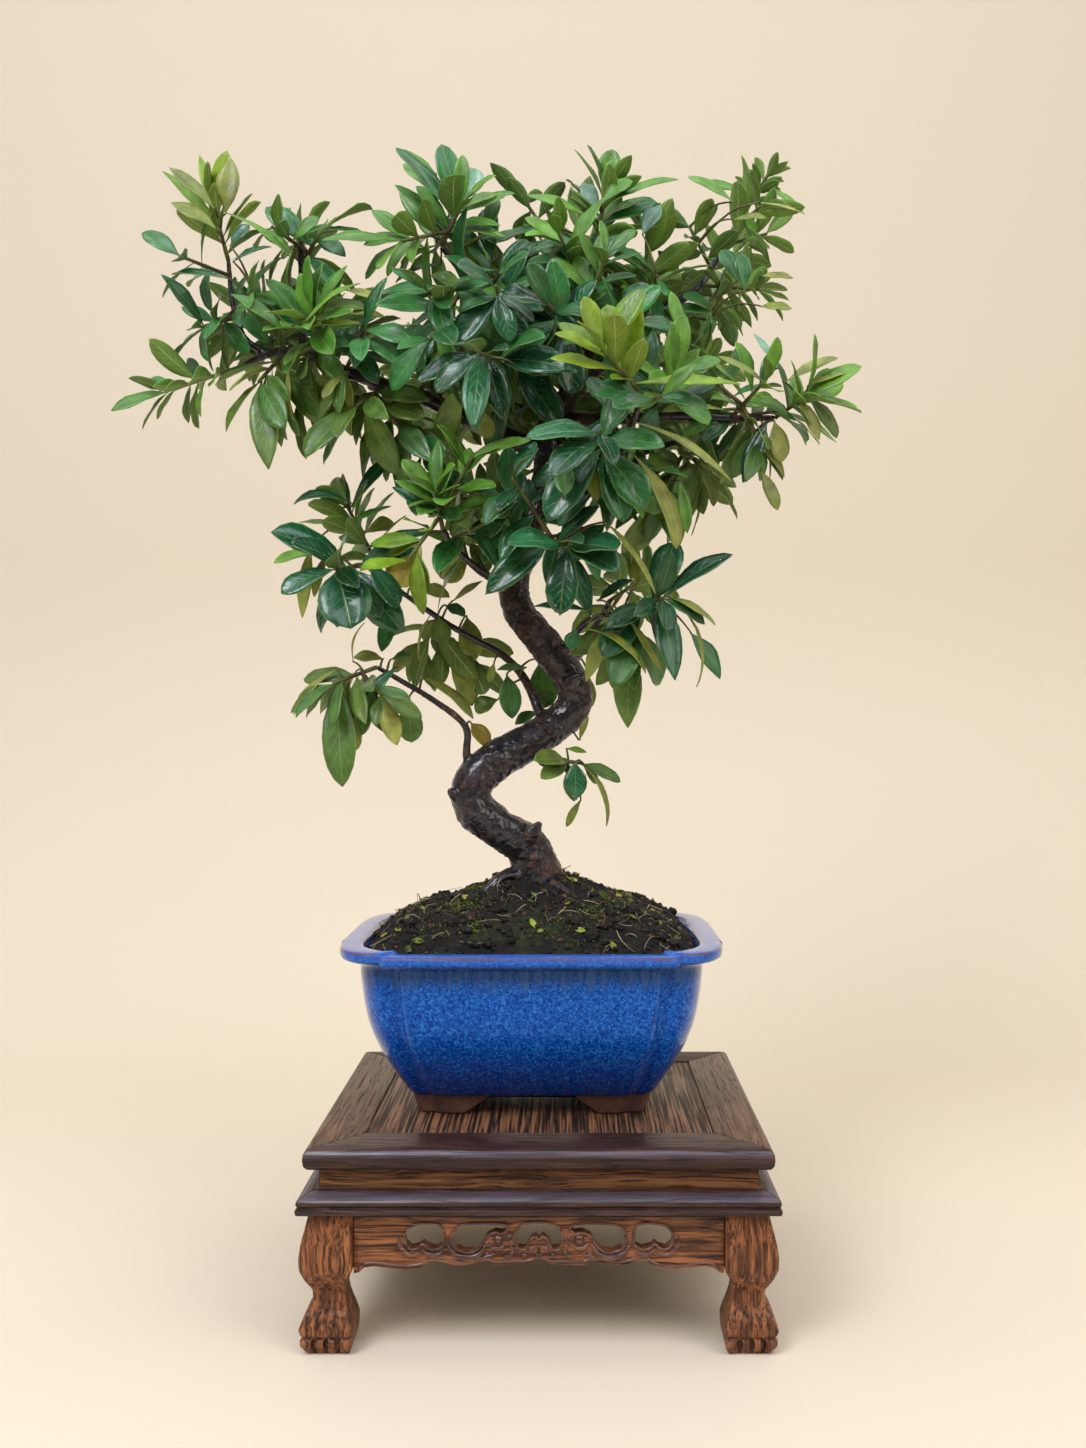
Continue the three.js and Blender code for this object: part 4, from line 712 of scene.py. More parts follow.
singleLeaves = {
    "wet": [(-79, 363, -87, 340, -12, 13, 24), (-75, 331, -98, 304, -40, 13, 34),
        (-101, 418, -132, 418, -20, 8, 80, "upLeft"), (-103, 418, -83, 444, -14, 8, 24),
        (-50, 402, -92, 394, -30, 9, 34), (-90, 384, -75, 362, -34, 16, 24), (24, 359, -4, 361, -54, 9, 26),
        (29, 364, 47, 375, -50, 9, 26), (18, 281, 18, 261, -26, 15, 18), (-34, 533, -74, 510, -20, 7, 26),
        (-38, 518, -61, 494, -30, 9, 30), (-160, 541, -140, 549, -40, 10, 24),
        (-162, 550, -152, 561, -38, 10, 20), (-164, 534, -193, 536, -36, 9, 20),
        (8, 502, -19, 498, -50, 5, 20), (41, 457, 6, 422, -70, 19, 26), (43, 451, 19, 417, -62, 14, 24),
        (31, 428, 9, 400, -64, 16, 24), (-36, 486, -31, 447, -66, 18, 24), (118, 459, 105, 427, -40, 14, 20),
        (-7, 405, -6, 425, -62, 10, 20), (33, 402, 14, 382, -62, 19, 20)],
    "young": [(13, 288, 24, 286, -14, 5, 20), (-121, 505, -92, 507, -50, 6, 26)],
    "bright": [(-2, 338, 1, 310, 26, 16, 20), (-104, 408, -81, 418, -18, 7, 26),
        (-117, 393, -143, 387, -22, 11, 26), (79, 350, 95, 325, -24, 15, 26),
        (-48, 581, -75, 603, -14, 11, 22), (-58, 602, -80, 616, -4, 8, 20),
        (-42, 575, -14, 584, -22, 11, 24), (-69, 564, -84, 543, -12, 10, 22),
        (-16, 530, -36, 515, -40, 16, 24), (-120, 506, -92, 526, -52, 10, 34, "upwards"),
        (-130, 501, -158, 521, -50, 10, 26), (-167, 571, -132, 547, -30, 9, 30, "upRight"),
        (-132, 550, -148, 562, -26, 9, 20), (-132, 556, -118, 569, -24, 10, 18),
        (39, 591, 39, 606, -18, 13, 14, "forwards"), (31, 577, 48, 590, -24, 9, 26),
        (24, 572, -8, 583, -22, 11, 24), (31, 542, 45, 557, -40, 14, 24), (104, 583, 79, 597, -12, 8, 24),
        (109, 534, 107, 554, -16, 9, 18), (74, 505, 68, 529, -30, 9, 20), (72, 427, 76, 400, -40, 9, 22)],
    # pale blue-green leaves, whose colour is a painted reflection of the sky on their gloss
    "mint": [(-43, 583, -35, 601, -16, 14, 14, "forwards"), (30, 576, 22, 590, -20, 11, 14),
        (54, 565, 64, 581, -14, 14, 14), (1, 534, 16, 519, -40, 13, 24), (124, 487, 111, 505, -36, 7, 20)],
    "dark": [(-53, 366, -42, 360, -6, 11, 16), (18, 350, 15, 339, -44, 12, 20),
        (-55, 551, -80, 541, -8, 7, 40), (27, 558, -11, 550, -16, 16, 34, "upwards"),
        (39, 518, 58, 529, -36, 15, 24), (106, 541, 97, 558, -10, 10, 20), (36, 459, 24, 477, -56, 10, 18),
        (36, 412, 60, 420, -50, 10, 24), (-17, 445, -14, 416, -52, 19, 20), (-10, 479, 23, 484, -66, 8, 20)],
    "hang": [(-57, 360, -55, 345, 9, 12, 18), (-72, 314, -70, 291, -16, 14, 16),
        (-9, 332, -25, 331, -2, 8, 30), (-20, 329, -17, 304, 8, 15, 20), (-25, 315, -38, 308, 12, 12, 28),
        (-3, 308, -16, 301, 12, 10, 24), (7, 318, -4, 316, 22, 9, 24), (-81, 336, -70, 338, -16, 8, 24),
        (-114, 412, -115, 429, -12, 10, 22), (-111, 390, -118, 367, -44, 6, 30),
        (-35, 538, -80, 532, -6, 14, 26), (-116, 519, -91, 518, -40, 11, 24),
        (141, 476, 157, 453, -28, 10, 22), (33, 402, 58, 366, -66, 8, 30, "upRight")],
    "olive": [(-45, 402, -52, 379, 6, 19, 22), (-40, 400, -29, 384, -6, 14, 22),
        (-74, 377, -52, 372, 12, 12, 24), (-50, 370, -34, 381, 10, 8, 20), (-59, 360, -67, 348, 8, 11, 18),
        (-43, 362, -39, 336, 16, 16, 24), (-61, 363, -67, 331, 4, 5, 62, "leftwards"),
        (-50, 349, -40, 311, 14, 17, 26), (-27, 335, -30, 324, 6, 6, 20),
        (-100, 334, -94, 355, -26, 4, 60, "leftwards"), (-85, 336, -101, 337, -18, 10, 30),
        (-107, 330, -130, 306, -34, 9, 40, "upLeft"), (-99, 329, -112, 312, -30, 10, 26),
        (-103, 311, -99, 286, -36, 12, 22), (-88, 315, -85, 303, -28, 6, 20),
        (-124, 397, -129, 358, -16, 10, 26), (-98, 407, -82, 412, 4, 12, 26), (63, 372, 81, 378, -34, 8, 22),
        (65, 367, 90, 352, -46, 8, 34, "upRight"), (68, 366, 81, 320, -40, 5, 80, "rightwards"),
        (38, 355, 23, 323, -40, 13, 26), (23, 350, 54, 327, -50, 7, 70, "upRight"),
        (45, 355, 62, 328, -48, 6, 24), (41, 357, 39, 335, -30, 7, 20), (51, 375, 50, 389, -10, 10, 22),
        (26, 328, 28, 311, 24, 7, 22), (21, 280, 35, 246, -16, 6, 72, "rightwards"),
        (21, 260, 13, 245, -6, 5, 30), (20, 292, 25, 305, 0, 4, 30), (-103, 528, -82, 522, -36, 7, 22),
        (-104, 515, -81, 513, -38, 7, 24), (-102, 507, -80, 502, -36, 8, 24),
        (-170, 575, -167, 605, -20, 16, 16, "forwards"), (-173, 574, -197, 596, -26, 11, 20),
        (-171, 562, -195, 576, -30, 13, 22), (118, 542, 135, 541, -16, 9, 20),
        (117, 525, 134, 524, -18, 11, 16), (118, 583, 142, 577, -12, 5, 20),
        (103, 573, 121, 574, -14, 7, 20), (47, 452, 96, 422, -66, 9, 34, "upRight"),
        (47, 437, 69, 389, -60, 12, 40, "upRight"), (122, 460, 126, 438, -30, 12, 18),
        (115, 434, 124, 413, -34, 9, 20), (134, 470, 145, 449, -34, 13, 22),
        (128, 481, 156, 494, -34, 8, 24), (140, 479, 167, 488, -36, 7, 22), (116, 477, 91, 491, -44, 7, 24),
        (94, 463, 62, 462, -46, 8, 34), (-64, 327, -37, 304, -10, 12, 34, "upRight")],
    "yellowed": [(-63, 399, -76, 373, -30, 19, 26), (-28, 380, -20, 373, -12, 10, 16),
        (-40, 302, -30, 288, 8, 15, 24)],
}
singleValues = {
    "clear": {"otherSpray": 1, "sameSpray": 0.8, "wood": 0.6},
    "moves": (0, 4, -4, 8, -8, 12, -12, 16, -16),
}
held = np.array([point for point, radius in wood] + [leaf["foot"] for leaf in grown])
twigLines = []
listed = [(habit, *row) for habit, rows in singleLeaves.items() for row in rows]
for habit, footX, footZ, tipX, tipZ, y, width, bend, *side in listed:
    upper = side[0] if side else "tilted"
    for move in singleValues["moves"]:
        foot, tip = np.array((footX, y + move, footZ), float), np.array((tipX, y + move, tipZ), float)
        if standsClear(leafAlong(foot, tip, upper, width, bend, habit), "single", singleValues["clear"]):
            near = held[np.argmin(np.linalg.norm(held - foot, axis=1))]
            twigLines.append((near, foot))
            break
print(len(twigLines), "single leaves of", len(listed))


# Leaves that fill in: more on every shoot, and short twigs along the limbs inside the crown

fillingValues = {
    "limbs": ("left", "crownLeft", "crownRight", "right", "back", "backLeft", "backRight", "middleBack",
              "frontRight", "rightFan", "frontLow", "upperLeft", "leftStub", "leftRiser"),
    "from": 0.25,            # share of the limb
    "fromOnTrunk": 0.68,
    "apart": 13,
    "length": (20, 34),
    "rise": (-0.5, 0.9),
    "leaves": 6,
    "leafLength": (26, 36),
    "lowest": 385,
    "hanging": -0.15,        # twigs that rise less than this have hanging leaves
    "bright": (520, 0.4),    # above this height, the share of twigs with bright leaves
    "points": (0.3, 0.5, 0.7, 0.85, 1),
    "shorter": 0.88,         # the added leaves, beside those that they stand among
    # the front of these bars stays bare: heights from and to
    "bare": ((trunk, 290, 520), (limbs["left"], 455, 500), (limbs["middleLeft"], 300, 385),
             (limbs["lowerLeft"], 260, 330), (limbs["right"], 460, 470)),
    "bareShare": 0.8,        # of the bar's radius
}
filling = random.Random(5)


def seenFrom(points):
    # places on a plane one millimetre in front of the camera
    x, y, z = cameraValues["place"]
    away = points[:, 1] - y
    return np.stack([(points[:, 0] - x) / away, (points[:, 2] - z) / away], axis=1), away


bareSamples = [(point, radius) for bar, low, high in fillingValues["bare"]
               for point, radius in barSamples(bar, 30) if low < point[2] < high]
bareSeen, bareAway = seenFrom(np.array([point for point, radius in bareSamples]))
bareRadii = np.array([radius for point, radius in bareSamples])


def leavesWoodSeen(leaf):
    seen, away = seenFrom(bladeSamples(leaf))
    gaps = np.sqrt(((seen[:, None, :] - bareSeen[None, :, :]) ** 2).sum(2)) * bareAway
    hidden = (gaps < bareRadii * fillingValues["bareShare"]) & (away[:, None] < bareAway[None, :])
    return not hidden.any()


def addTwigs(stations, index, start):
    values = fillingValues
    whole = sum(math.dist(a[:3], b[:3]) for a, b in zip(stations, stations[1:]))
    count = int(whole * (1 - start) / values["apart"])
    steps = 40
    places = ringPlaces(stations, steps)
    for k in range(count):
        point, _ = places[round((start + (1 - start) * (k + 0.5) / count) * steps)]
        if point[2] < values["lowest"]:
            continue
        angle = filling.uniform(0, 2 * math.pi)
        outward = np.array((math.cos(angle), math.sin(angle), filling.uniform(*values["rise"])))
        end = point + unit(outward) * filling.uniform(*values["length"])
        above, share = values["bright"]
        habit = "dark"
        if outward[2] < values["hanging"]:
            habit = "hang"
        elif point[2] > above and filling.random() < share:
            habit = "bright"
        length = filling.uniform(*values["leafLength"])
        shoots.append({"spray": "inner", "start": point, "end": end, "leaves": values["leaves"],
                       "length": length, "habit": habit, "ids": (60 + index, k)})


builtShoots = list(shoots)
for shoot in builtShoots:
    i, j = shoot["ids"]
    more = dict(shoot, ids=(i, j + 20), length=shoot["length"] * fillingValues["shorter"])
    growShoot(more, growing["closer"], leavesWoodSeen)
for index, name in enumerate(fillingValues["limbs"]):
    addTwigs(limbs[name], index, fillingValues["from"])
addTwigs(trunk, len(fillingValues["limbs"]), fillingValues["fromOnTrunk"])
innerShoots = shoots[len(builtShoots):]
newPoints = [towards(shoot["start"], shoot["end"], share)
             for shoot in innerShoots for share in fillingValues["points"]]
barPoints = np.vstack([barPoints, newPoints])
barRadii = np.append(barRadii, [growing["stemRadius"][0]] * len(newPoints))
for shoot in innerShoots:
    growShoot(shoot, growing["closer"], leavesWoodSeen)
print(len(grown), "leaves in all")

leafValues = {
    "rows": (0, 0.05, 0.13, 0.25, 0.4, 0.55, 0.69, 0.82, 0.93, 1),
    "stalkHalf": 0.45, "stalkShare": 0.3,
    "tipHalf": 0.15,
    "fold": 0.24,             # rise of the edges, as a share of the half width
    "wave": (0.1, 11),        # height as a share of the half width, and how close
    "twist": 18,              # degrees from foot to tip, either way
    "point": (-0.06, 0.36),   # how much fuller or narrower the blade's end is than the solid's
    "sunk": 0.3,
    "thick": 0.35,
    # two shades, and how wet and glossy the blade is
    "kinds": {
        "young": ("#5f8616", "#829c1c", 0.12),
        "bright": ("#38741e", "#66962e", 0.3),
        "dark": ("#185228", "#347a38", 0.5),
        "wet": ("#10462a", "#1f6139", 1),
        "hang": ("#5c7426", "#37692f", 0.3),
        "olive": ("#76842e", "#93994a", 0.25),
        # a painted reflection of the sky on glossy leaves: pale blue-green
        "mint": ("#5f8a72", "#7fa98e", 0.35),
        "yellowed": ("#a39a44", "#b89a38", 0.2),
    },
    "strays": (0.14, {"dark": "bright", "bright": "dark", "hang": "olive", "wet": "dark"}),
    # colour and strength of the marks on the upper side and the underside
    "upper": {"veins": 0.12, "midrib": 0.45, "edge": 0.3, "pale": "#a9bf6c", "edgeColour": "#8fa850"},
    "under": {"veins": (0.3, "#b5c183"), "midrib": (0.85, "#c2c98d"), "tint": (0.42, "#8fa552")},
}
chance = random.Random(11)
dropValues = {
    "wetness": 0.7, "count": (3, 9), "radius": (0.35, 1.0), "flat": 0.5, "colours": ("#c9dccf", "#eef6f0"),
    "batch": 40,              # a large bmesh is slow to add to
}
dropping = random.Random(8)
drops = []                    # place, upper side and radius of each drop of water


def leafTone(habit):
    # colour, and in the fourth value how wet it is
    share, others = leafValues["strays"]
    if chance.random() < share:
        habit = others.get(habit, habit)
    first, second, wetness = leafValues["kinds"][habit]
    colour = towards(np.array(linearColour(first)[:3]), np.array(linearColour(second)[:3]), chance.random())
    return (*(colour * chance.uniform(0.8, 1.2)), wetness * chance.uniform(0.6, 1))


def addLeaf(bm, toneLayer, leaf):
    rows = np.array(leafValues["rows"])
    middles, uppers, side = bladeFrames(leaf, rows)
    halves = leaf["width"] / 2 * bladeOutline(rows) * (1.001 - rows) ** chance.uniform(*leafValues["point"])
    least = np.where(rows < leafValues["stalkShare"], leafValues["stalkHalf"], leafValues["tipHalf"])
    halves = np.maximum(halves, least)
    tone = leafTone(leaf["habit"])
    phase = chance.random() * 6.28
    fold = leafValues["fold"] * (0.4 + 1.2 * chance.random())
    twist = math.radians(leafValues["twist"]) * chance.uniform(-1, 1)
    waveHeight, waveTurns = leafValues["wave"]
    steps = len(rows) - 1
    grid = bmesh.ops.create_grid(bm, x_segments=4, y_segments=steps, size=1, calc_uvs=True)["verts"]
    for vert in grid:
        across = vert.co.x
        row = round((vert.co.y + 1) / 2 * steps)
        half = halves[row]
        wave = waveHeight * math.sin(rows[row] * waveTurns + phase + (2 if across > 0 else 0))
        lift = half * (fold * abs(across) ** 1.3 + wave * abs(across))
        turn = twist * rows[row]
        out = half * across * math.cos(turn) - lift * math.sin(turn)
        up = half * across * math.sin(turn) + lift * math.cos(turn) - leafValues["sunk"]
        vert.co = middles[row] + side * out + uppers[row] * up
        vert[toneLayer] = tone
    if tone[3] > dropValues["wetness"]:
        middle, reach = middles[4].dot(side), leaf["width"] * 0.45
        inner = [vert for vert in grid if abs(vert.co.dot(Vector(side)) - middle) < reach]
        for _ in range(dropping.randint(*dropValues["count"])):
            edge = dropping.choice(dropping.choice(inner).link_edges)
            place = edge.verts[0].co.lerp(edge.verts[1].co, dropping.random())
            drops.append((place, Vector(uppers[5]), dropping.uniform(*dropValues["radius"])))


def mottleGroup():
    # a colour made darker and lighter by a pattern
    tree, inputs, outputs = newGroup("mottle", [
        ("Colour", "NodeSocketColor", None), ("Pattern", "NodeSocketFloat", None),
        ("Darker", "NodeSocketFloat", 0.8), ("Lighter", "NodeSocketFloat", 1.2)],
        [("Colour", "NodeSocketColor")])
    given = inputs.outputs
    shade = spread(tree, given["Pattern"], 0.3, 0.7, given["Darker"], given["Lighter"])
    feed(tree, outputs, {"Colour": mixColours(tree, 1.0, given["Colour"], shade, "MULTIPLY")})
    return tree


def mottled(tree, colour, pattern, darker, lighter):
    inputs = {"Colour": colour, "Pattern": pattern, "Darker": darker, "Lighter": lighter}
    return addNode(tree, "ShaderNodeGroup", inputs, node_tree=mottle).outputs[0]


def bladeMarks():
    # masks for a leaf's midrib, side veins and edge, from its own UV map
    tree, _, outputs = newGroup("bladeMarks", [], [
        ("Midrib", "NodeSocketFloat"), ("Veins", "NodeSocketFloat"), ("Edge", "NodeSocketFloat")])
    split = axesOf(tree, addNode(tree, "ShaderNodeUVMap").outputs[0])
    across = calculate(tree, "ABSOLUTE", calculate(tree, "MULTIPLY_ADD", split["X"], 2.0, -1.0))
    slanting = calculate(tree, "MULTIPLY_ADD", across, -0.2, split["Y"])
    lines = spread(tree, calculate(tree, "SINE", product(tree, slanting, 62.0)), 0.7, 1.0)
    feed(tree, outputs, {
        "Midrib": spread(tree, across, 0.06, 0.02),
        "Veins": product(tree, lines, spread(tree, across, 0.95, 0.5)),
        "Edge": spread(tree, across, 0.9, 1.0)})
    return tree


def startLeafMaterial(name, finish):
    material, tree, shader = newMaterial(name, finish)
    tone = attributeOf(tree, "leafTone")
    marked = addNode(tree, "ShaderNodeGroup", node_tree=marks).outputs
    return material, tree, shader, tone, marked, objectPlace(tree)


def upperLeafMaterial():
    material, tree, shader, tone, marked, place = startLeafMaterial("leaf_upper", {
        "Specular IOR Level": 0.42, "Coat Roughness": 0.12})
    values = leafValues["upper"]
    base = mottled(tree, tone["Color"], noiseAt(tree, place, 130, 4), 0.6, 1.3)
    pale = mixColours(tree, 0.5, base, values["pale"])
    colour = mixColours(tree, product(tree, marked["Veins"], values["veins"]), base, pale)
    colour = mixColours(tree, product(tree, marked["Midrib"], values["midrib"]), colour, pale)
    colour = mixColours(tree, product(tree, marked["Edge"], values["edge"]), colour, values["edgeColour"])
    rough = calculate(tree, "MULTIPLY_ADD", tone["Alpha"], -0.18, 0.36)
    patchy = spread(tree, noiseAt(tree, place, 70, 4), 0.35, 0.65, -0.06, 0.2)
    sunk = product(tree, calculate(tree, "MULTIPLY_ADD", marked["Veins"], -0.5, marked["Midrib"]), -1.0)
    height = calculate(tree, "MULTIPLY_ADD", noiseAt(tree, place, 420, 2), 0.5, sunk)
    feed(tree, shader, {
        "Base Color": colour, "Roughness": calculate(tree, "ADD", patchy, rough),
        "Coat Weight": product(tree, tone["Alpha"], 0.4), "Normal": bumped(tree, height, 0.45, 0.0004)})
    return material


def underLeafMaterial():
    material, tree, shader, tone, marked, place = startLeafMaterial("leaf_underside", {
        "Specular IOR Level": 0.35})
    values = leafValues["under"]
    strength, shade = values["tint"]
    colour = mixColours(tree, strength, tone["Color"], shade)
    colour = mottled(tree, colour, noiseAt(tree, place, 120, 3), 0.75, 1.1)
    for mark in ("veins", "midrib"):
        strength, shade = values[mark]
        colour = mixColours(tree, product(tree, marked[mark.title()], strength), colour, shade)
    height = calculate(tree, "MULTIPLY_ADD", marked["Veins"], 0.4, marked["Midrib"])
    feed(tree, shader, {
        "Base Color": colour, "Roughness": spread(tree, noiseAt(tree, place, 200, 2), 0.0, 1.0, 0.45, 0.65),
        "Normal": bumped(tree, height, 0.5, 0.0005)})
    return material


mottle = mottleGroup()
marks = bladeMarks()
leafMaterials = [upperLeafMaterial(), underLeafMaterial()]


def makeLeaves(spray, replaced=()):
    bm = bmesh.new()
    bm.loops.layers.uv.new("UVMap")
    toneLayer = bm.verts.layers.float_color.new("leafTone")
    for leaf in grown:
        if leaf["spray"] == spray:
            addLeaf(bm, toneLayer, leaf)
    piece = finishPiece("leaves_" + spray, bm, leafMaterials, replaced)
    thicken(piece, leafValues["thick"], offset=-1, material_offset=1, use_even_offset=False)


for name, (start, *ends) in sprays.items():
    makeLeaves(name, ["spray_" + name])
makeLeaves("inner")
makeLeaves("single")
print("leaves made")


# Drops of water on the wet leaves

def waterMaterial():
    material, tree, shader = newMaterial("water_drops", {
        "Roughness": 0.02, "IOR": 1.33, "Transmission Weight": 0.9, "Specular IOR Level": 0.6,
        "Coat Weight": 0.4})
    ripple = noiseAt(tree, objectPlace(tree), 900, 1)
    feed(tree, shader, {"Base Color": mixColours(tree, ripple, *dropValues["colours"])})
    return material


bm = bmesh.new()
for first in range(0, len(drops), dropValues["batch"]):
    few = bmesh.new()
    for place, upper, radius in drops[first:first + dropValues["batch"]]:
        turn = upper.to_track_quat("Z", "Y").to_matrix().to_4x4()
        shape = Matrix.Diagonal((radius, radius * 0.85, radius * dropValues["flat"], 1))
        bmesh.ops.create_uvsphere(few, u_segments=8, v_segments=4, radius=1,
                                  matrix=Matrix.Translation(place + upper * radius * 0.15) @ turn @ shape)
    joinInto(bm, few)
finishPiece("water_drops", bm, [waterMaterial()])
print(len(drops), "drops made")


# Stems of the leafy shoots, and the twigs of the single leaves

stemValues = {
    "steps": 6,
    "knots": 0.12,            # how much thicker every other ring of a stem is
    "sides": 8,
    "twigRadius": (0.75, 0.45),
    "twigArch": 0.12,         # rise in the middle, as a share of the length
    "twigSides": 6,
    "colours": ("#4a3a22", "#5f6b2c"),
}


def stemMaterial():
    material, tree, shader = newMaterial("young_stems", {"Specular IOR Level": 0.4})
    place = objectPlace(tree)
    patches = spread(tree, noiseAt(tree, place, 70, 3), 0.4, 0.6)
    feed(tree, shader, {
        "Base Color": mixColours(tree, patches, *stemValues["colours"]),
        "Roughness": spread(tree, noiseAt(tree, place, 300, 2), 0.0, 1.0, 0.4, 0.65),
        "Normal": bumped(tree, noiseAt(tree, place, 500, 3), 0.4, 0.0004)})
    return material


def addStem(bm, start, end, radii, sides, knots, arch):
    shares = [k / stemValues["steps"] for k in range(stemValues["steps"] + 1)]
    rise = np.array((0, 0, arch * np.linalg.norm(end - start)))
    line = [Vector(towards(start, end, share) + rise * math.sin(math.pi * share)) for share in shares]
    sweep(bm, line, [towards(*radii, share) * (1 + knots * (k % 2)) for k, share in enumerate(shares)], sides)


bm = bmesh.new()
values = stemValues
for shoot in shoots:
    addStem(bm, shoot["start"], shoot["end"], growing["stemRadius"], values["sides"], values["knots"], 0)
for start, end in twigLines:
    addStem(bm, start, end, values["twigRadius"], values["twigSides"], 0, values["twigArch"])
finishPiece("young_stems", bm, [stemMaterial()])


# Trunk and limbs

barkValues = {
    "voxel": 0.9,
    "ridge": 1.3,          # how deep the bark's furrows are on the trunk
    "ringStep": 3,
    "dark": "#0b0707", "brown": "#2c1a13", "worn": "#7d5138", "wet": "#dfe4ff",
    "thickest": 9,         # from this radius on, furrows have their whole depth
    # knots and stubs: stations of [x, y, z, radius]
    "nubs": [
        [(11, -6, 281, 3), (14, -11, 276, 2.2), (15, -13, 273, 1.2)],
        [(-12, -8, 236, 7), (-5, -12, 243, 4.5), (-1, -14, 248, 2)],
        [(-46, -14, 262, 4), (-49, -17, 265, 2.4), (-50, -18, 266, 1)],
        [(14, -6, 322, 5), (19, -10, 326, 3), (22, -12, 328, 1.4)],
        [(-8, -6, 352, 4), (-13, -11, 354, 2.6), (-15, -13, 355, 1.2)],
        [(-13, -10, 219, 3), (-21, -14, 218, 1.5), (-26, -17, 210, 1.3)],
        [(2, -10, 216, 4), (12, -20, 212, 2.2), (24, -27, 205, 1.6)],
    ],
}


def treeBar(bm, stations, sides):
    length = sum(math.dist(a[:3], b[:3]) for a, b in zip(stations, stations[1:]))
    places = ringPlaces(stations, max(4, round(length / barkValues["ringStep"])))
    sweep(bm, [Vector(point) for point, radius in places], [radius for point, radius in places], sides)


def barkMaterial():
    values = barkValues
    material, tree, shader = newMaterial("bark", {
        "Specular IOR Level": 0.4, "Coat Roughness": 0.14, "Coat Tint": values["wet"]})
    place = objectPlace(tree)
    coarse = noiseAt(tree, place, 45, 5, 0.6)
    fine = noiseAt(tree, place, 240, 5, 0.65, 0.6)
    wearAndSheen = noiseAt(tree, place, 26, 3)
    colour = mixColours(tree, spread(tree, coarse, 0.4, 0.62), values["dark"], values["brown"])
    flaking = product(tree, spread(tree, fine, 0.54, 0.66), spread(tree, wearAndSheen, 0.42, 0.6, 0.1, 1.0))
    furrows = calculate(tree, "MULTIPLY_ADD", coarse, 0.8, fine)
    depth = spread(tree, attributeOf(tree, "girth")["Fac"], 1.0, values["thickest"], 0.35, 1.0)
    feed(tree, shader, {
        "Base Color": mixColours(tree, flaking, colour, values["worn"]),
        "Roughness": spread(tree, fine, 0.35, 0.65, 0.18, 0.55),
        "Coat Weight": spread(tree, wearAndSheen, 0.44, 0.6, 0.9, 0.1),
        "Normal": bumped(tree, product(tree, furrows, depth), 1.0, 0.0026)})
    return material


def lumps(place, gap, octaves):
    # the height of large swells at a place, and that of the smaller ones on them
    return noise.fractal(place * 0.12, 1.0, gap, octaves), noise.fractal(place * 0.5, 1.0, gap, 3)


bm = bmesh.new()
treeBar(bm, trunk, 24)
for stations in list(limbs.values()) + barkValues["nubs"]:
    treeBar(bm, stations, 12)
bm = shapedBy(bm, ("REMESH", {"mode": "VOXEL", "voxel_size": barkValues["voxel"]}),
              ("SMOOTH", {"iterations": 4}))
woodTree = KDTree(len(wood))
for k, (point, radius) in enumerate(wood):
    woodTree.insert(point, k)
woodTree.balance()
girthLayer = bm.verts.layers.float.new("girth")
bm.normal_update()
moves = []
for vert in bm.verts:
    radius = wood[woodTree.find(vert.co)[1]][1]
    vert[girthLayer] = radius
    large, small = lumps(vert.co, 2.1, 4)
    depth = barkValues["ridge"] * min(1, radius / barkValues["thickest"])
    moves.append(vert.normal * (depth * (large * 0.7 + small * 0.3)))
for vert, move in zip(bm.verts, moves):
    vert.co += move
finishPiece("trunk_and_limbs", bm, [barkMaterial()], ["trunk"])
print("trunk made")


# Pot

potValues = {
    "x": -5, "base": 97.7, "halfX": 100, "halfY": 75,
    "cornerSteps": 18, "cornerShort": 0.62,
    # where a flat ends, on the body and at the rim: length of the step, and its groove's depth and width
    "stepLength": (6, 2), "stepPoints": 5, "groove": (2, 0.6), "grooveWidth": (3.6, 1.7),
    "rimFrom": (76, 8),              # height at which the body begins to turn into the rim, and over how much
    "dip": 1.7,                      # how much lower the rim is along the long sides than at the corners
    "fullness": 0.86,                # below 1 a corner is fuller than an ellipse
    "sideShare": 0.4,                # how proud the short sides' flats stand, beside the long sides'
    # height above the base, inset from the rim, corner radius, how far the flats stand proud
    "feet": [(0, 39, 14, 1), (10.5, 36, 16, 1)],
    "outer": [
        (9, 37.5, 16, 0.8), (11.5, 33.8, 17, 1.6), (17, 29.5, 20, 2.6), (26, 23.5, 24, 3.4),
        (36, 18, 28, 3.8), (47, 13.6, 31, 3.8), (60, 10.8, 33, 3.8), (74, 9.4, 34, 3.2), (81, 8.9, 35, 2.6),
        (83, 5.5, 36, 2.3), (83.8, 2, 38, 2.2), (85, 0.3, 39, 2.2), (88.3, 0, 39, 2.2),
        (89.6, 0.8, 38.4, 2.2), (90, 2.4, 38, 2)],
    "inner": [
        (90, 9.5, 34, 1.2), (89.6, 11.2, 33, 1), (87, 13.2, 32, 0.8), (72, 15, 31, 0.7), (58, 17, 30, 0.6),
        (42, 22, 27, 0.5), (28, 28, 23, 0.4), (19, 34, 18, 0.4), (16, 38, 16, 0.4)],
    "drains": (-30, 30), "drainRadius": 6, "drainSpan": (1, 31),
    # between the feet: heights, the hollow's half size, and each opening's half widths and half length
    "footHeight": 9.5, "cutFrom": -5, "hollow": (48, 22), "footEdge": 0.7,
    "frontOpening": (22, 35, 80), "sideOpening": (9, 15, 110),
    "clay": ("#4a2f28", "#6a4a3e"),
}
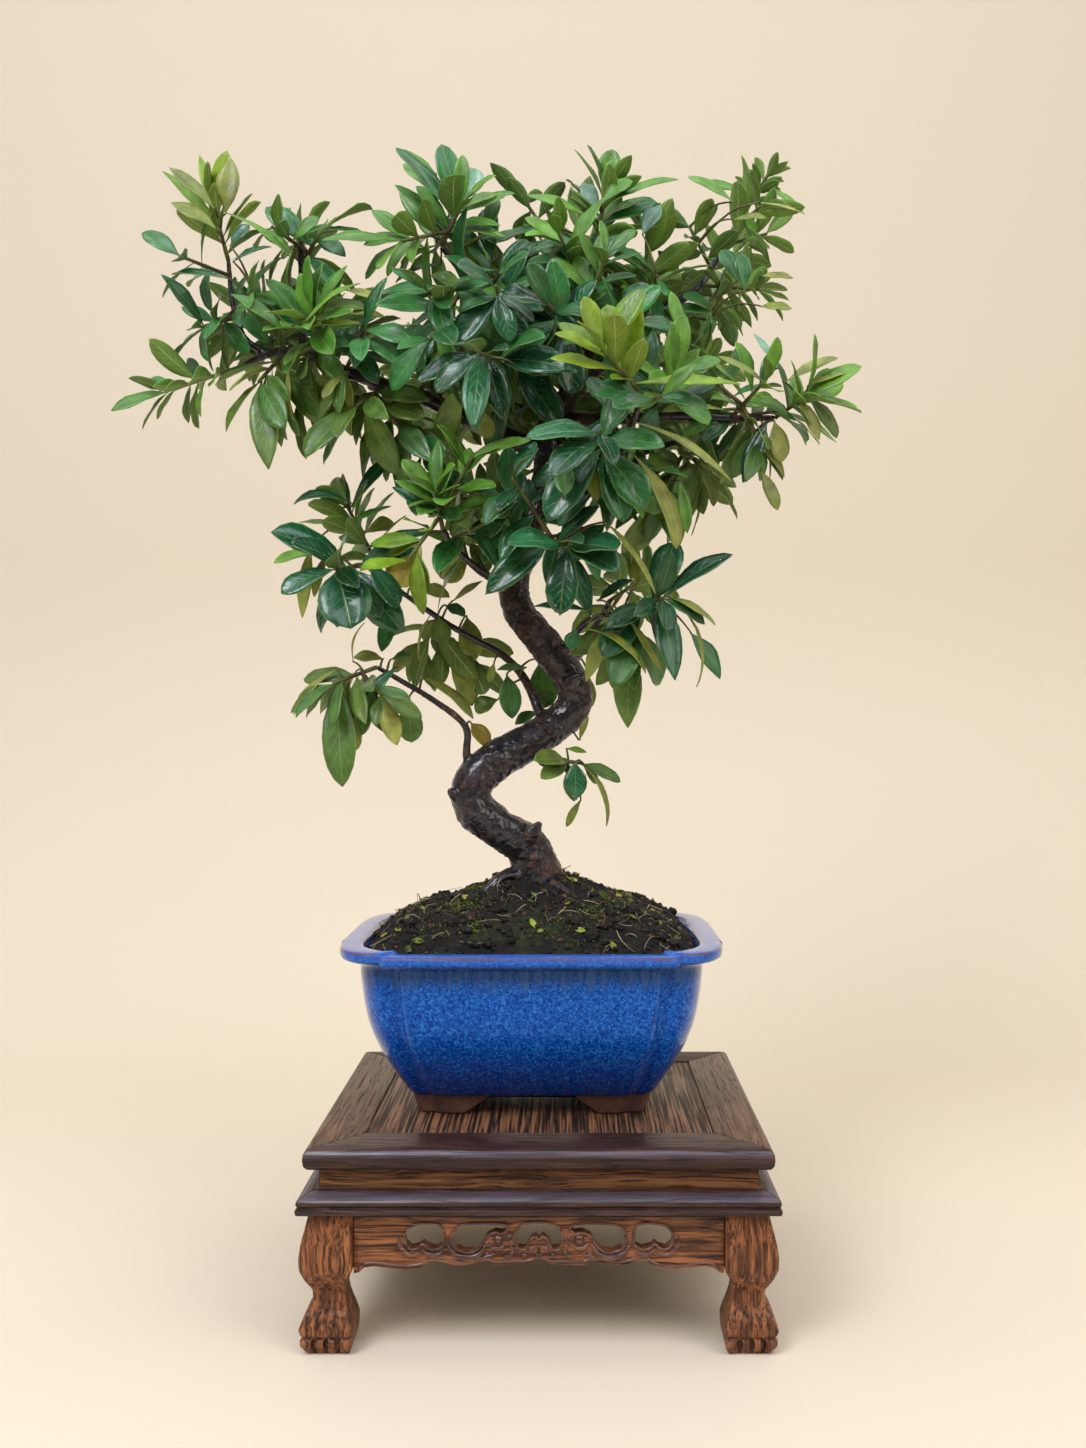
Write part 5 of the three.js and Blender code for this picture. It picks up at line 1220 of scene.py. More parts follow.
# heights are metres above the pot's base
glazeValues = {
    # rim is the colour of the painted highlight along the rim
    "deep": "#032a80", "mid": "#054cab", "fleck": "#3a8ae6", "thin": "#5f4a4c", "rim": "#4268b8",
    "streaks": ("#1c3d74", "#3a5a8c"),
    "gloss": (0.14, 0.9),            # of the coat, seen square on and along the surface
    "deepens": (0.026, 0.06),
    "streaked": (0.072, 0.079), "streakedTo": (0.0845, 0.083),
    # heights over which the glaze turns to the rim colour, a painted highlight
    "rimHighlight": (0.084, 0.0855),
    "line": (0.0881, 0.0887), "lineTo": (0.0899, 0.0895),
    "flatX": (0.0765, 0.0745), "flatY": (0.05, 0.051),      # where the rim's long flats end
}


def potRing(station):
    height, inset, corner, proud = station
    values = potValues
    halfX, halfY = values["halfX"] - inset, values["halfY"] - inset
    begins, over = values["rimFrom"]
    crisp = min(max((height - begins) / over, 0), 1)
    step = towards(*values["stepLength"], crisp)
    groove, grooveWidth = towards(*values["groove"], crisp), towards(*values["grooveWidth"], crisp)
    sideProud = proud * values["sideShare"]
    reachX = corner * values["cornerShort"]
    cx, cy = halfX - sideProud - reachX, halfY - proud - corner
    shares = [k / values["stepPoints"] for k in range(values["stepPoints"] + 1)]
    falls = [share * share * (3 - 2 * share) for share in shares]
    outline = [(halfX - sideProud * fall, cy - step * (1 - share), 0) for share, fall in zip(shares, falls)]
    for k in range(1, values["cornerSteps"]):
        angle = (0.5 - 0.5 * math.cos(math.pi * k / values["cornerSteps"])) * math.pi / 2
        across, along = [value ** values["fullness"] for value in (math.cos(angle), math.sin(angle))]
        outline.append((cx + reachX * across, cy + corner * along, 0))
    outline += [(cx - step * (1 - share), halfY - proud * fall, 1 - fall)
                for share, fall in zip(shares[::-1], falls[::-1])]
    # a shallow groove parts each long side's flat from its corner
    grooved = []
    for x, y, flat in outline:
        away = math.hypot(x - cx, y - (halfY - proud))
        grooved.append((x, y - groove * min(1, proud) * math.exp(-(away / grooveWidth) ** 2),
                        height - values["dip"] * crisp * flat))
    ring = []
    for signX, signY in ((1, 1), (-1, 1), (-1, -1), (1, -1)):
        quarter = grooved if signX == signY else grooved[::-1]
        ring += [Vector((values["x"] + signX * x, signY * y, values["base"] + z)) for x, y, z in quarter]
    return ring


def smoothStations(stations, parts):
    points = [np.array(station, float) for station in stations]
    last = len(points) - 1
    return [catmullRom(points, k / (last * parts)) for k in range(last * parts + 1)]


def raiseRings(bm, rings):
    # a shell from the first ring to the last, both closed
    verts = [bm.verts.new(point) for point in rings[0]]
    firstEdges = edges = [bm.edges.new(pair) for pair in zip(verts, verts[1:] + verts[:1])]
    for ring in rings[1:]:
        places = {vert.co.to_tuple(4): point for vert, point in zip(verts, ring)}
        newVerts, edges = extrudeEdges(bm, edges)
        matched = {vert.co.to_tuple(4): vert for vert in newVerts}
        verts = [matched[vert.co.to_tuple(4)] for vert in verts]
        for vert in verts:
            vert.co = places[vert.co.to_tuple(4)]
    for ends in (firstEdges, edges):
        bmesh.ops.contextual_create(bm, geom=ends)
    bmesh.ops.recalc_face_normals(bm, faces=bm.faces)


def glazeMaterial():
    values = glazeValues
    material, tree, shader = newMaterial("blue_glaze", {"Specular IOR Level": 0.07, "Coat Roughness": 0.03})
    facing = addNode(tree, "ShaderNodeLayerWeight", {"Blend": 0.5}).outputs["Facing"]
    place = objectPlace(tree)
    sides = axesOf(tree, place)
    above = calculate(tree, "SUBTRACT", sides["Z"], potValues["base"] * 0.001)
    worms = noiseAt(tree, place, 640, 2, 0.55, 1.2)
    cloud = noiseAt(tree, place, 22, 4, 0.6)
    low = spread(tree, calculate(tree, "MULTIPLY_ADD", cloud, 0.02, above), *values["deepens"])
    body = mixColours(tree, low, values["deep"], values["mid"])
    flecks = product(tree, spread(tree, worms, 0.5, 0.62), spread(tree, low, 0, 1, 0.3, 0.62))
    body = mixColours(tree, flecks, body, values["fleck"])
    body = mixColours(tree, spread(tree, worms, 0.46, 0.36, 0, 0.85), body, values["deep"])
    streaks = spread(tree, noiseAt(tree, mapped(tree, place, (1, 1, 0.12)), 320, 3), 0.42, 0.62)
    ragged = calculate(tree, "MULTIPLY_ADD", streaks, 0.005, above)
    underRim = product(tree, spread(tree, ragged, *values["streaked"], 0, 0.85),
                       spread(tree, above, *values["streakedTo"]))
    body = mixColours(tree, underRim, body, mixColours(tree, streaks, *values["streaks"]))
    # painted highlight: the glaze turns to the paler rim colour towards the top
    body = mixColours(tree, spread(tree, above, *values["rimHighlight"], 0, 0.45), body, values["rim"])
    # thin glaze in a line along the rim, which runs on along the long sides, where the rim dips
    onFlat = 1.0
    middle = toFrame @ Vector((potValues["x"], 0, 0))
    for axis, centre, ends in (("X", middle.x, values["flatX"]), ("Y", middle.y, values["flatY"])):
        away = calculate(tree, "ABSOLUTE", calculate(tree, "SUBTRACT", sides[axis], centre))
        onFlat = product(tree, onFlat, spread(tree, away, *ends))
    level = calculate(tree, "MULTIPLY_ADD", onFlat, potValues["dip"] * 0.001, above)
    line = product(tree, spread(tree, level, *values["line"]), spread(tree, level, *values["lineTo"]))
    edge = product(tree, line, spread(tree, noiseAt(tree, place, 60, 3), 0.35, 0.6, 0.45, 0.95))
    waves = calculate(tree, "MULTIPLY_ADD", worms, 0.35, noiseAt(tree, place, 60, 2))
    feed(tree, shader, {
        "Base Color": mixColours(tree, edge, body, values["thin"]),
        "Roughness": spread(tree, worms, 0.3, 0.7, 0.1, 0.24),
        "Coat Weight": spread(tree, facing, 0.25, 0.75, *values["gloss"]),
        "Normal": bumped(tree, waves, 0.35, 0.0012)})
    return material


def clayMaterial():
    material, tree, shader = newMaterial("bare_clay", {"Specular IOR Level": 0.3})
    place = objectPlace(tree)
    grain = noiseAt(tree, place, 400, 4, 0.6)
    colour = mixColours(tree, spread(tree, noiseAt(tree, place, 60, 4), 0.35, 0.65), *potValues["clay"])
    feed(tree, shader, {
        "Base Color": mottled(tree, colour, grain, 0.8, 1.15),
        "Roughness": spread(tree, grain, 0.3, 0.7, 0.6, 0.85),
        "Normal": bumped(tree, grain, 0.5, 0.0005)})
    return material


def addTrapezoid(bm, topHalf, footHalf, reach, turn):
    # the opening between two feet, through the whole pot
    base = potValues["base"]
    low, top = base + potValues["cutFrom"], base + potValues["footHeight"]
    outline = [(-footHalf, low), (footHalf, low), (footHalf, base), (topHalf, top), (-topHalf, top),
               (-footHalf, base)]
    face = bm.faces.new([bm.verts.new((x, -reach, z)) for x, z in outline])
    made = bmesh.ops.extrude_face_region(bm, geom=[face])["geom"]
    bmesh.ops.translate(bm, verts=vertsOf(made), vec=(0, 2 * reach, 0))
    middle = Matrix.Translation((potValues["x"], 0, 0)) @ Matrix.Rotation(turn, 4, "Z")
    bmesh.ops.transform(bm, matrix=middle, verts=[*face.verts, *vertsOf(made)])


def cutPot(rings, cutter, **settings):
    bm = bmesh.new()
    raiseRings(bm, [potRing(station) for station in rings])
    settings.update(operation="DIFFERENCE", solver="EXACT", object=cutter)
    bm = shapedBy(bm, ("BOOLEAN", settings))
    bpy.data.objects.remove(cutter)
    return bm


low, high = potValues["drainSpan"]
bores = bmesh.new()
for hole in potValues["drains"]:
    middle = Matrix.Translation((potValues["x"] + hole, 0, potValues["base"] + (low + high) / 2))
    bmesh.ops.create_cone(bores, cap_ends=True, segments=32, radius1=potValues["drainRadius"],
                          radius2=potValues["drainRadius"], depth=high - low, matrix=middle)
bm = cutPot(smoothStations(potValues["outer"], 5) + smoothStations(potValues["inner"], 4), cutterOf(bores))
finishPiece("pot_body", bm, [glazeMaterial()], ["pot"], sharp=50)

halfX, halfY = potValues["hollow"]
low, high = potValues["cutFrom"], potValues["footHeight"]
middle = Matrix.Translation((potValues["x"], 0, potValues["base"] + (low + high) / 2))
cuts = bmesh.new()
bmesh.ops.create_cube(cuts, size=1, matrix=middle @ Matrix.Diagonal((2 * halfX, 2 * halfY, high - low, 1)))
addTrapezoid(cuts, *potValues["frontOpening"], 0)
addTrapezoid(cuts, *potValues["sideOpening"], math.pi / 2)
bm = cutPot(smoothStations(potValues["feet"], 6), cutterOf(cuts), use_self=True)
bmesh.ops.remove_doubles(bm, verts=bm.verts, dist=0.01)
softenEdges(bm, potValues["footEdge"], 40, 3)
finishPiece("pot_feet", bm, [clayMaterial()], ["pot"], sharp=50)
print("pot made")


# Stand

standValues = {
    # the frame is one wood: its rails along x are painted darker and those along y lighter, as painted shade
    # and painted light
    "frame x": {"dark": "#281310", "light": "#4d2f26", "streak": "#120807"},
    "frame y": {"dark": "#56402f", "light": "#7b5b45", "streak": "#2c1b12"},
    "panel": {"dark": "#20110a", "light": "#845b3f", "streak": "#160c07"},
    "moulding": {"dark": "#281815", "light": "#4d3129", "streak": "#170c0a"},
    "waist": {"dark": "#4a2c19", "light": "#8c5c35", "streak": "#1f120a"},
    "carved": {"dark": "#4c2712", "light": "#a26539", "streak": "#1f0e07"},
    "bead": {"dark": "#43271c", "light": "#83563f", "streak": "#27130c"},
    # sheen is the colour of the painted sheen along the edges; coat is the coat's tint
    "sheen": "#5c5560", "coat": "#eeebf6",
    # heights of the edges' painted sheen, in metres
    "wearAndSheen": {"frame": (0.0936, 0.0972), "moulding": (0.0736, 0.0774)},
    "waistFrom": (0.0777, 0.0781),    # above the moulding's slope stands the paler waist
    # roughness and coat
    "finish": {"frame": (0.4, 0.6), "moulding": (0.32, 0.7), "bead": (0.3, 0.8), "carved": (0.44, 0.16)},
    "edge": 0.45, "apronEdge": 0.9,
}
sideNames = ("front", "right", "back", "left")
grainTurns = {"x": (0, 0, 0), "y": (0, 0, -math.pi / 2), "z": (0, math.pi / 2, 0)}


def woodGrain():
    # streaks that run along the place's X
    tree, inputs, outputs = newGroup("woodGrain", [("Place", "NodeSocketVector", None)], [
        ("Figure", "NodeSocketFloat"), ("Pores", "NodeSocketFloat"), ("Height", "NodeSocketFloat")])
    place = inputs.outputs["Place"]
    bend = product(tree, noiseAt(tree, mapped(tree, place, (12, 60, 60)), 1, 2), 0.012)
    aside = addNode(tree, "ShaderNodeCombineXYZ", {"Y": bend, "Z": bend}).outputs[0]
    warped = addNode(tree, "ShaderNodeVectorMath", {0: place, 1: aside}, operation="ADD").outputs[0]
    figure = noiseAt(tree, mapped(tree, warped, (16, 420, 420)), 1, 4, 0.62)
    pores = spread(tree, noiseAt(tree, mapped(tree, warped, (20, 1100, 1100)), 1, 3), 0.55, 0.64)
    feed(tree, outputs, {
        "Figure": spread(tree, figure, 0.4, 0.6), "Pores": pores,
        "Height": calculate(tree, "MULTIPLY_ADD", pores, -0.8, figure)})
    return tree


def woodMaterial(kind, direction):
    roughness, coat = standValues["finish"][kind]
    material, tree, shader = newMaterial(kind + "_wood_" + direction, {
        "Specular IOR Level": 0.35, "Coat Weight": coat, "Coat Roughness": 0.18,
        "Coat Tint": standValues["coat"]})
    # the frame's rails take shades painted darker along x and lighter along y
    shades = standValues.get(kind + " " + direction) or standValues[kind]
    objectAt = objectPlace(tree)
    height = axesOf(tree, objectAt)["Z"]
    place = mapped(tree, objectAt, turn=grainTurns[direction])
    grain = addNode(tree, "ShaderNodeGroup", {"Place": place}, node_tree=grainGroup).outputs
    worn = noiseAt(tree, place, 30, 4)
    dark, light = shades["dark"], shades["light"]
    if kind == "moulding":
        above = spread(tree, height, *standValues["waistFrom"])
        waist = standValues["waist"]
        dark, light = [mixColours(tree, above, shades[key], waist[key]) for key in ("dark", "light")]
    colour = mixColours(tree, grain["Figure"], dark, light)
    colour = mixColours(tree, spread(tree, worn, 0.4, 0.7, 0, 0.35), colour, dark)
    colour = mixColours(tree, product(tree, grain["Pores"], 0.9), colour, shades["streak"])
    if kind in standValues["wearAndSheen"]:
        # painted sheen: a cool band along the edge, which stands in for a reflection
        low, high = standValues["wearAndSheen"][kind]
        wavering = calculate(tree, "MULTIPLY_ADD", calculate(tree, "SUBTRACT", worn, 0.5), 0.0016, height)
        wearAndSheen = product(tree, spread(tree, wavering, low, low + 0.0012),
                         spread(tree, wavering, high, high - 0.0008))
        wearAndSheen = product(tree, wearAndSheen, spread(tree, grain["Figure"], 0, 1, 0.35, 0.8))
        colour = mixColours(tree, wearAndSheen, colour, standValues["sheen"])
        feed(tree, shader, {"Coat Weight": spread(tree, wearAndSheen, 0, 0.6, coat * 0.2, coat)})
    rough = calculate(tree, "MULTIPLY_ADD", grain["Pores"], 0.2, roughness)
    feed(tree, shader, {
        # painted shade in the legs' carved hollows, from their hollow attribute
        "Base Color": mixColours(tree, attributeOf(tree, "hollow")["Fac"], colour, shades["streak"]),
        "Roughness": calculate(tree, "MULTIPLY_ADD", worn, 0.1, rough),
        "Normal": bumped(tree, grain["Height"], 0.8, 0.0006)})
    return material


def panelMaterial():
    # coarse light and dark stripes along Y
    shades = standValues["panel"]
    material, tree, shader = newMaterial("panel_wood", {"Specular IOR Level": 0.4, "Coat Weight": 0.1})
    turned = mapped(tree, objectPlace(tree), turn=grainTurns["y"])
    grain = addNode(tree, "ShaderNodeGroup", {"Place": turned}, node_tree=grainGroup).outputs
    stripes = spread(tree, noiseAt(tree, mapped(tree, turned, (14, 760, 760)), 1, 3, 0.6, 0.2), 0.46, 0.57)
    colour = mixColours(tree, stripes, shades["dark"], shades["light"])
    feed(tree, shader, {
        "Base Color": mixColours(tree, product(tree, grain["Pores"], 0.7), colour, shades["streak"]),
        "Roughness": spread(tree, stripes, 0, 1, 0.6, 0.45),
        "Normal": bumped(tree, calculate(tree, "ADD", grain["Height"], stripes), 0.5, 0.0005)})
    return material


def dressNode(name, material, edge=standValues["edge"]):
    bm = copyOfNode(name)
    softenEdges(bm, edge, 28)
    finishPiece(name + "_dressed", bm, [material], [name], sharp=40)


grainGroup = woodGrain()
woods = {}
for kind, directions in (("frame", "xy"), ("moulding", "xy"), ("bead", "xy"), ("carved", "xyz")):
    for direction in directions:
        woods[kind, direction] = woodMaterial(kind, direction)
for side, name in enumerate(sideNames):
    along = "y" if side % 2 else "x"
    dressNode("stand_rail_" + name, woods["frame", along])
    dressNode("stand_moulding_" + name, woods["moulding", along])
    dressNode("stand_apron_" + name, woods["carved", along], standValues["apronEdge"])

# Paws: grooves between the toes, a ledge above them, and creases that run up over the foot

pawValues = {
    "voxel": 0.65,
    "across": (89, 114), "setIn": 18,     # from a leg's inner to its outer face, as X, and what Y is less
    # shares of the way across a face, depth, half width
    "toes": ((0.27, 1.5, 0.9), (0.5, 1.5, 0.9), (0.73, 1.5, 0.9)), "toeTop": 7.8,
    "ledge": (8.1, 0.7, 0.7),             # height, depth, half width
    "creases": ((0.14, 0.5, 0.8), (0.34, 0.9, 0.9), (0.5, 1.1, 0.8), (0.68, 0.9, 0.9), (0.87, 0.6, 0.8)),
    "creaseHeights": (9, 12, 20, 30),     # where the creases begin, are deep, are still deep, and end
    "carvedTo": 32, "facing": 0.4,        # height that the carving ends at, and how far a face turns outwards
    # painted shade in the carved hollows:
    "darkest": (0.85, 0.5),               # the most, and how much for each millimetre of depth
}


def bump(distance, half):
    return math.exp(-(distance / half) ** 2)


def pawDepth(share, z):
    # how deep the carving lies at a share of the way across a face
    values = pawValues
    side = values["across"][1] - values["across"][0]
    height, depth, half = values["ledge"]
    total = depth * bump(z - height, half)
    toeFade = min(max((values["toeTop"] - z) / 0.8, 0), 1)
    for place, depth, half in values["toes"]:
        total += toeFade * depth * bump((share - place) * side, half)
    first, deep, still, last = values["creaseHeights"]
    creaseFade = min(max((z - first) / (deep - first), 0), 1) * min(max((last - z) / (last - still), 0), 1)
    for place, depth, half in values["creases"]:
        leaning = 0.5 + (place - 0.5) * (1 - 0.012 * (z - first))
        total += creaseFade * depth * bump((share - leaning) * side, half)
    return total


def dressLeg(name, signX, signY):
    values = pawValues
    low, high = values["across"]
    bm = copyOfNode(name)
    bm = shapedBy(bm, ("TRIANGULATE", {}), ("REMESH", {"mode": "VOXEL", "voxel_size": values["voxel"]}),
                  ("SMOOTH", {"iterations": 3}))
    bm.normal_update()
    hollowShadeLayer = bm.verts.layers.float.new("hollow")
    most, each = values["darkest"]
    moved = []
    for vert in bm.verts:
        outX, outY = vert.normal.x * signX, vert.normal.y * signY
        if vert.co.z > values["carvedTo"] or max(outX, outY) < values["facing"]:
            continue
        across = abs(vert.co.y) + values["setIn"] if outX > outY else abs(vert.co.x)
        depth = pawDepth((across - low) / (high - low), vert.co.z)
        # painted shade, darker where the carving lies deeper
        vert[hollowShadeLayer] = min(most, depth * each)
        moved.append((vert, depth))
    for vert, depth in moved:
        vert.co -= vert.normal * depth
    for vert in bm.verts:
        vert.co.z = max(vert.co.z, 0)
    finishPiece(name + "_dressed", bm, [woods["carved", "z"]], [name])


for signY, along in ((-1, "front"), (1, "back")):
    for signX, across in ((-1, "left"), (1, "right")):
        dressLeg("stand_leg_" + along + "_" + across, signX, signY)
dressNode("stand_panel", panelMaterial())


# Drain screens: each becomes a woven mesh of thin wires in a frame

screenValues = {
    "half": 12, "frame": 0.8, "wire": 0.45, "pitch": 2.4, "weave": 0.3, "colours": ("#3b3d3c", "#5a5c58"),
}


def makeScreen(name):
    low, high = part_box(name)
    middle = fromFrame @ ((low + high) / 2)
    half, pitch = screenValues["half"] - screenValues["frame"], screenValues["pitch"]
    bm = bmesh.new()
    corners = [middle + Vector((sx * half, sy * half, 0)) for sx, sy in ((-1, -1), (1, -1), (1, 1), (-1, 1))]
    for start, end in zip(corners, corners[1:] + corners[:1]):
        sweep(bm, [start, end], [screenValues["frame"]] * 2, 8)
    count = int(half / pitch)
    for k in range(-count, count + 1):
        for turned in (0, 1):
            line = []
            for step in range(-4 * count - 4, 4 * count + 5):
                along = step * pitch / 4
                over = screenValues["weave"] * math.cos(math.pi * (step / 4 + k + turned))
                x, y = (along, k * pitch) if turned else (k * pitch, along)
                if abs(along) <= half:
                    line.append(middle + Vector((x, y, over)))
            sweep(bm, line, [screenValues["wire"]] * len(line), 5)
    finishPiece(name + "_dressed", bm, [wireMaterial], [name])


def screenMaterial():
    material, tree, shader = newMaterial("drain_mesh", {"Specular IOR Level": 0.3})
    grain = noiseAt(tree, objectPlace(tree), 600, 3)
    feed(tree, shader, {
        "Base Color": mixColours(tree, spread(tree, grain, 0.3, 0.7), *screenValues["colours"]),
        "Roughness": spread(tree, grain, 0.3, 0.7, 0.5, 0.7)})
    return material


wireMaterial = screenMaterial()
makeScreen("drain_screen_left")
makeScreen("drain_screen_right")

# Carving on the aprons: beads and leaves that lie half in the wood. x and z on the apron's face, right half.

carvingValues = {
    "rim": 0.7,
    "openings": {
        "middle": [(-11.6, 53), (-9.8, 49.6), (-6.6, 49.3), (-4.6, 53.4), (-1.8, 55.5), (0, 54), (1.8, 55.5),
            (4.6, 53.4), (6.6, 49.3), (9.8, 49.6), (11.6, 53), (10.8, 58.5), (7, 61.8), (-7, 61.8),
            (-10.8, 58.5)],
        "scroll": [(-15, 58.6), (-17.5, 56.9), (-21, 57.4), (-25, 55.4), (-27.4, 51.6), (-31, 48.2),
            (-35.5, 47.9), (-39.6, 49.6), (-41.9, 53.2), (-41, 57.6), (-38, 60.8), (-33, 61.8), (-19, 61.8),
            (-15.8, 61)],
        "outer": [(-46, 51), (-49.5, 49.3), (-53.6, 50.2), (-55.6, 52), (-57.4, 50.4), (-60.8, 49.4),
            (-63.6, 51.8), (-64.5, 55.6), (-62.6, 59.4), (-58.6, 61.5), (-48, 61.5), (-46, 59.4)],
    },
    # thickest in the middle: radius, then the line
    "leaves": [
        (1.7, [(25.6, 52), (27.6, 48.2), (31, 46), (35.5, 45.7), (40.5, 47.4), (43.8, 52)]),
        (1.1, [(13.4, 57), (14.8, 54.6), (17.4, 54.2)]),
        (1.3, [(16, 51.8), (18.6, 50), (22, 50.4), (24.2, 53)]),
        (1.2, [(14.2, 52.4), (12.6, 49), (14, 46.6), (17, 46)]),
        (1.0, [(20.5, 47.8), (24, 46.2), (27.4, 46)]),
        (1.2, [(1, 51.6), (3.4, 50), (4.8, 47)]),
        (0.9, [(0, 51), (0, 48.6), (0, 46.8)]),
    ],
    "outerLeaves": [
        (1.1, [(45.8, 48.6), (49.5, 46.8), (53.6, 47.6), (55.8, 49.4)]),
        (1.2, [(56.4, 48), (60.6, 46.6), (64.4, 48.6), (66.8, 52.6), (66.8, 56)]),
    ],
    "buds": [((19.4, 54.2), 2.5), ((6.8, 46.4), 1.3), ((24.6, 47), 1.1)],
    "frontEdge": [(0, 47.4), (4, 44.4), (12.7, 43.9), (21.3, 43.6), (26.3, 45.8), (33.3, 44), (40, 43.6),
        (48.6, 45.8), (51, 45.8), (56.2, 42.7), (63.9, 41.5), (79, 43.1), (83.5, 42.5), (86.6, 40)],
    "sideEdge": [(0, 47.4), (4, 44.4), (12.7, 43.9), (21.3, 43.6), (26.3, 45.8), (33, 45), (38, 42.7),
        (46, 41.5), (61, 43.1), (65.5, 42.5), (68.6, 40)],
    "edgeRadius": 0.7,
    "topRidge": (64.9, 0.6),          # height, radius
    "faces": (-92, -110), "sunk": 0.2,
    "leafEnd": 0.25,                  # radius at a leaf's ends, beside its middle's
}


def smoothLine(points, parts=4):
    line = [np.array((x, 0, z), float) for x, z in points]
    last = len(line) - 1
    return [Vector(catmullRom(line, k / (last * parts))) for k in range(last * parts + 1)]


def addBead(bm, points, radius, tapered, face):
    line = [point + Vector((0, face, 0)) for point in smoothLine(points)]
    last = len(line) - 1
    shares = [1] * (last + 1)
    if tapered:
        least = carvingValues["leafEnd"]
        shares = [least + (1 - least) * math.sin(math.pi * k / last) ** 0.8 for k in range(last + 1)]
    sweep(bm, line, [radius * share for share in shares], 8)


def carveApron(name, side):
    values = carvingValues
    along = side % 2 == 0
    face = values["faces"][side % 2]
    edge = values["frontEdge" if along else "sideEdge"]
    bm = bmesh.new()
    for opening in ["middle", "scroll"] + ["outer"] * along:
        points = values["openings"][opening]
        addBead(bm, points + points[:2], values["rim"], False, face)
    for radius, points in values["leaves"] + values["outerLeaves"] * along:
        addBead(bm, points, radius, True, face - values["sunk"])
    addBead(bm, edge, values["edgeRadius"], False, face)
    ridge, ridgeRadius = values["topRidge"]
    addBead(bm, [(0, ridge), (edge[-1][0], ridge)], ridgeRadius, False, face)
    for (x, z), radius in values["buds"]:
        bmesh.ops.create_uvsphere(bm, u_segments=12, v_segments=8, radius=radius,
                                  matrix=Matrix.Translation((x, face, z)) @ Matrix.Diagonal((1, 0.8, 1, 1)))
    other = bm.copy()
    bmesh.ops.scale(other, verts=other.verts, vec=(-1, 1, 1))
    bmesh.ops.reverse_faces(other, faces=other.faces)
    joinInto(bm, other)
    bmesh.ops.rotate(bm, verts=bm.verts, cent=(0, 0, 0), matrix=Matrix.Rotation(side * math.pi / 2, 3, "Z"))
    bmesh.ops.recalc_face_normals(bm, faces=bm.faces)
    finishPiece("carving_" + name, bm, [woods["bead", "x" if along else "y"]])


for side, name in enumerate(sideNames):
    carveApron(name, side)
print("stand made")


# Soil with its litter

soilValues = {
    "voxel": 1.4,
    "rough": 2.6,
    "colours": ("#0d0b09", "#1f1812"), "specks": "#3a2b1e", "growth": "#3c4f1b",
    "top": 186,               # height above which the soil is loose
    "half": (86, 61), "heights": (184, 223),      # where things lie
}
litterValues = {
    "crumbs": {
        "count": 50, "each": 40, "size": (0.5, 1.7), "large": (0.08, 1.5), "shape": ((0.6, 1), (0.5, 0.9)),
        "colours": ("#120d0a", "#1a130f", "#241b15", "#0c0a08", "#15100c", "#0f0c0a", "#32261b", "#5a3c24")},
    "clods": {
        "count": 150, "size": (1.6, 4.2), "shape": ((0.6, 0.9), (0.45, 0.75)), "knobs": 0.5, "within": 0.98,
        "colours": ("#120d0a", "#1a130f", "#241b15", "#0c0a08", "#15100c", "#0f0c0a")},
    "moss": {
        "count": 22, "blades": 156, "reach": (3, 9), "lean": 0.7, "height": (0.8, 2.2), "radii": (0.42, 0.08),
        "sunk": 0.4, "lowest": 185, "within": 0.9, "colours": ("#41531f", "#5f7024", "#2c3a12", "#7a872f")},
    "straws": {
        "count": 280, "length": (4, 19), "rise": (0.4, 1.4), "high": (0.3, 4.5), "bend": (-0.25, 0.25),
        "thin": (0.45, 0.85), "radii": (0.32, 0.3, 0.28, 0.26, 0.24, 0.2, 0.12), "sunk": 0.3, "within": 0.96,
        "colours": ("#8d8160", "#6a5c3c", "#4a3b26", "#b0a47e", "#5e4c30")},
    "bits": {
        "count": 70, "size": (1.4, 3.4), "tilt": 0.3, "lift": 0.7, "curl": 0.25, "thick": 0.3, "within": 0.97,
        "colours": ("#8a9a3a", "#6f7d2c", "#a39a48", "#55632a")},
}
scattering = random.Random(3)
bitTurns = iter(range(litterValues["bits"]["count"]))


def soilMaterial():
    material, tree, shader = newMaterial("soil", {"Specular IOR Level": 0.35})
    place = objectPlace(tree)
    grains = noiseAt(tree, place, 380, 6, 0.7)
    colour = mixColours(tree, spread(tree, noiseAt(tree, place, 60, 5), 0.4, 0.65), *soilValues["colours"])
    colour = mixColours(tree, spread(tree, grains, 0.6, 0.72), colour, soilValues["specks"])
    mossy = product(tree, spread(tree, noiseAt(tree, place, 34, 3), 0.54, 0.66),
                    spread(tree, grains, 0.4, 0.6))
    feed(tree, shader, {
        "Base Color": mixColours(tree, product(tree, mossy, 0.55), colour, soilValues["growth"]),
        "Roughness": spread(tree, grains, 0.3, 0.7, 0.5, 0.95),
        "Normal": bumped(tree, grains, 1.0, 0.0018)})
    return material


def litterMaterial():
    material, tree, shader = newMaterial("litter", {"Specular IOR Level": 0.35})
    mottle = noiseAt(tree, objectPlace(tree), 700, 3)
    feed(tree, shader, {
        "Base Color": mottled(tree, attributeOf(tree, "litterTone")["Color"], mottle, 0.7, 1.25),
        "Roughness": spread(tree, mottle, 0.3, 0.7, 0.5, 0.9),
        "Normal": bumped(tree, mottle, 0.4, 0.0004)})
    return material


def soilBelow(x, y):
    # the place on the soil below a point, and the direction that the soil faces there
    return soilTree.ray_cast(Vector((x, y, 260)), Vector((0, 0, -1)))[:2]


def soilSpot(within=1.0):
    halfX, halfY = soilValues["half"]
    low, high = soilValues["heights"]
    while True:
        x = potValues["x"] + scattering.uniform(-halfX, halfX) * within
        y = scattering.uniform(-halfY, halfY) * within
        place, normal = soilBelow(x, y)
        if place and low < place.z < high:
            return place, normal


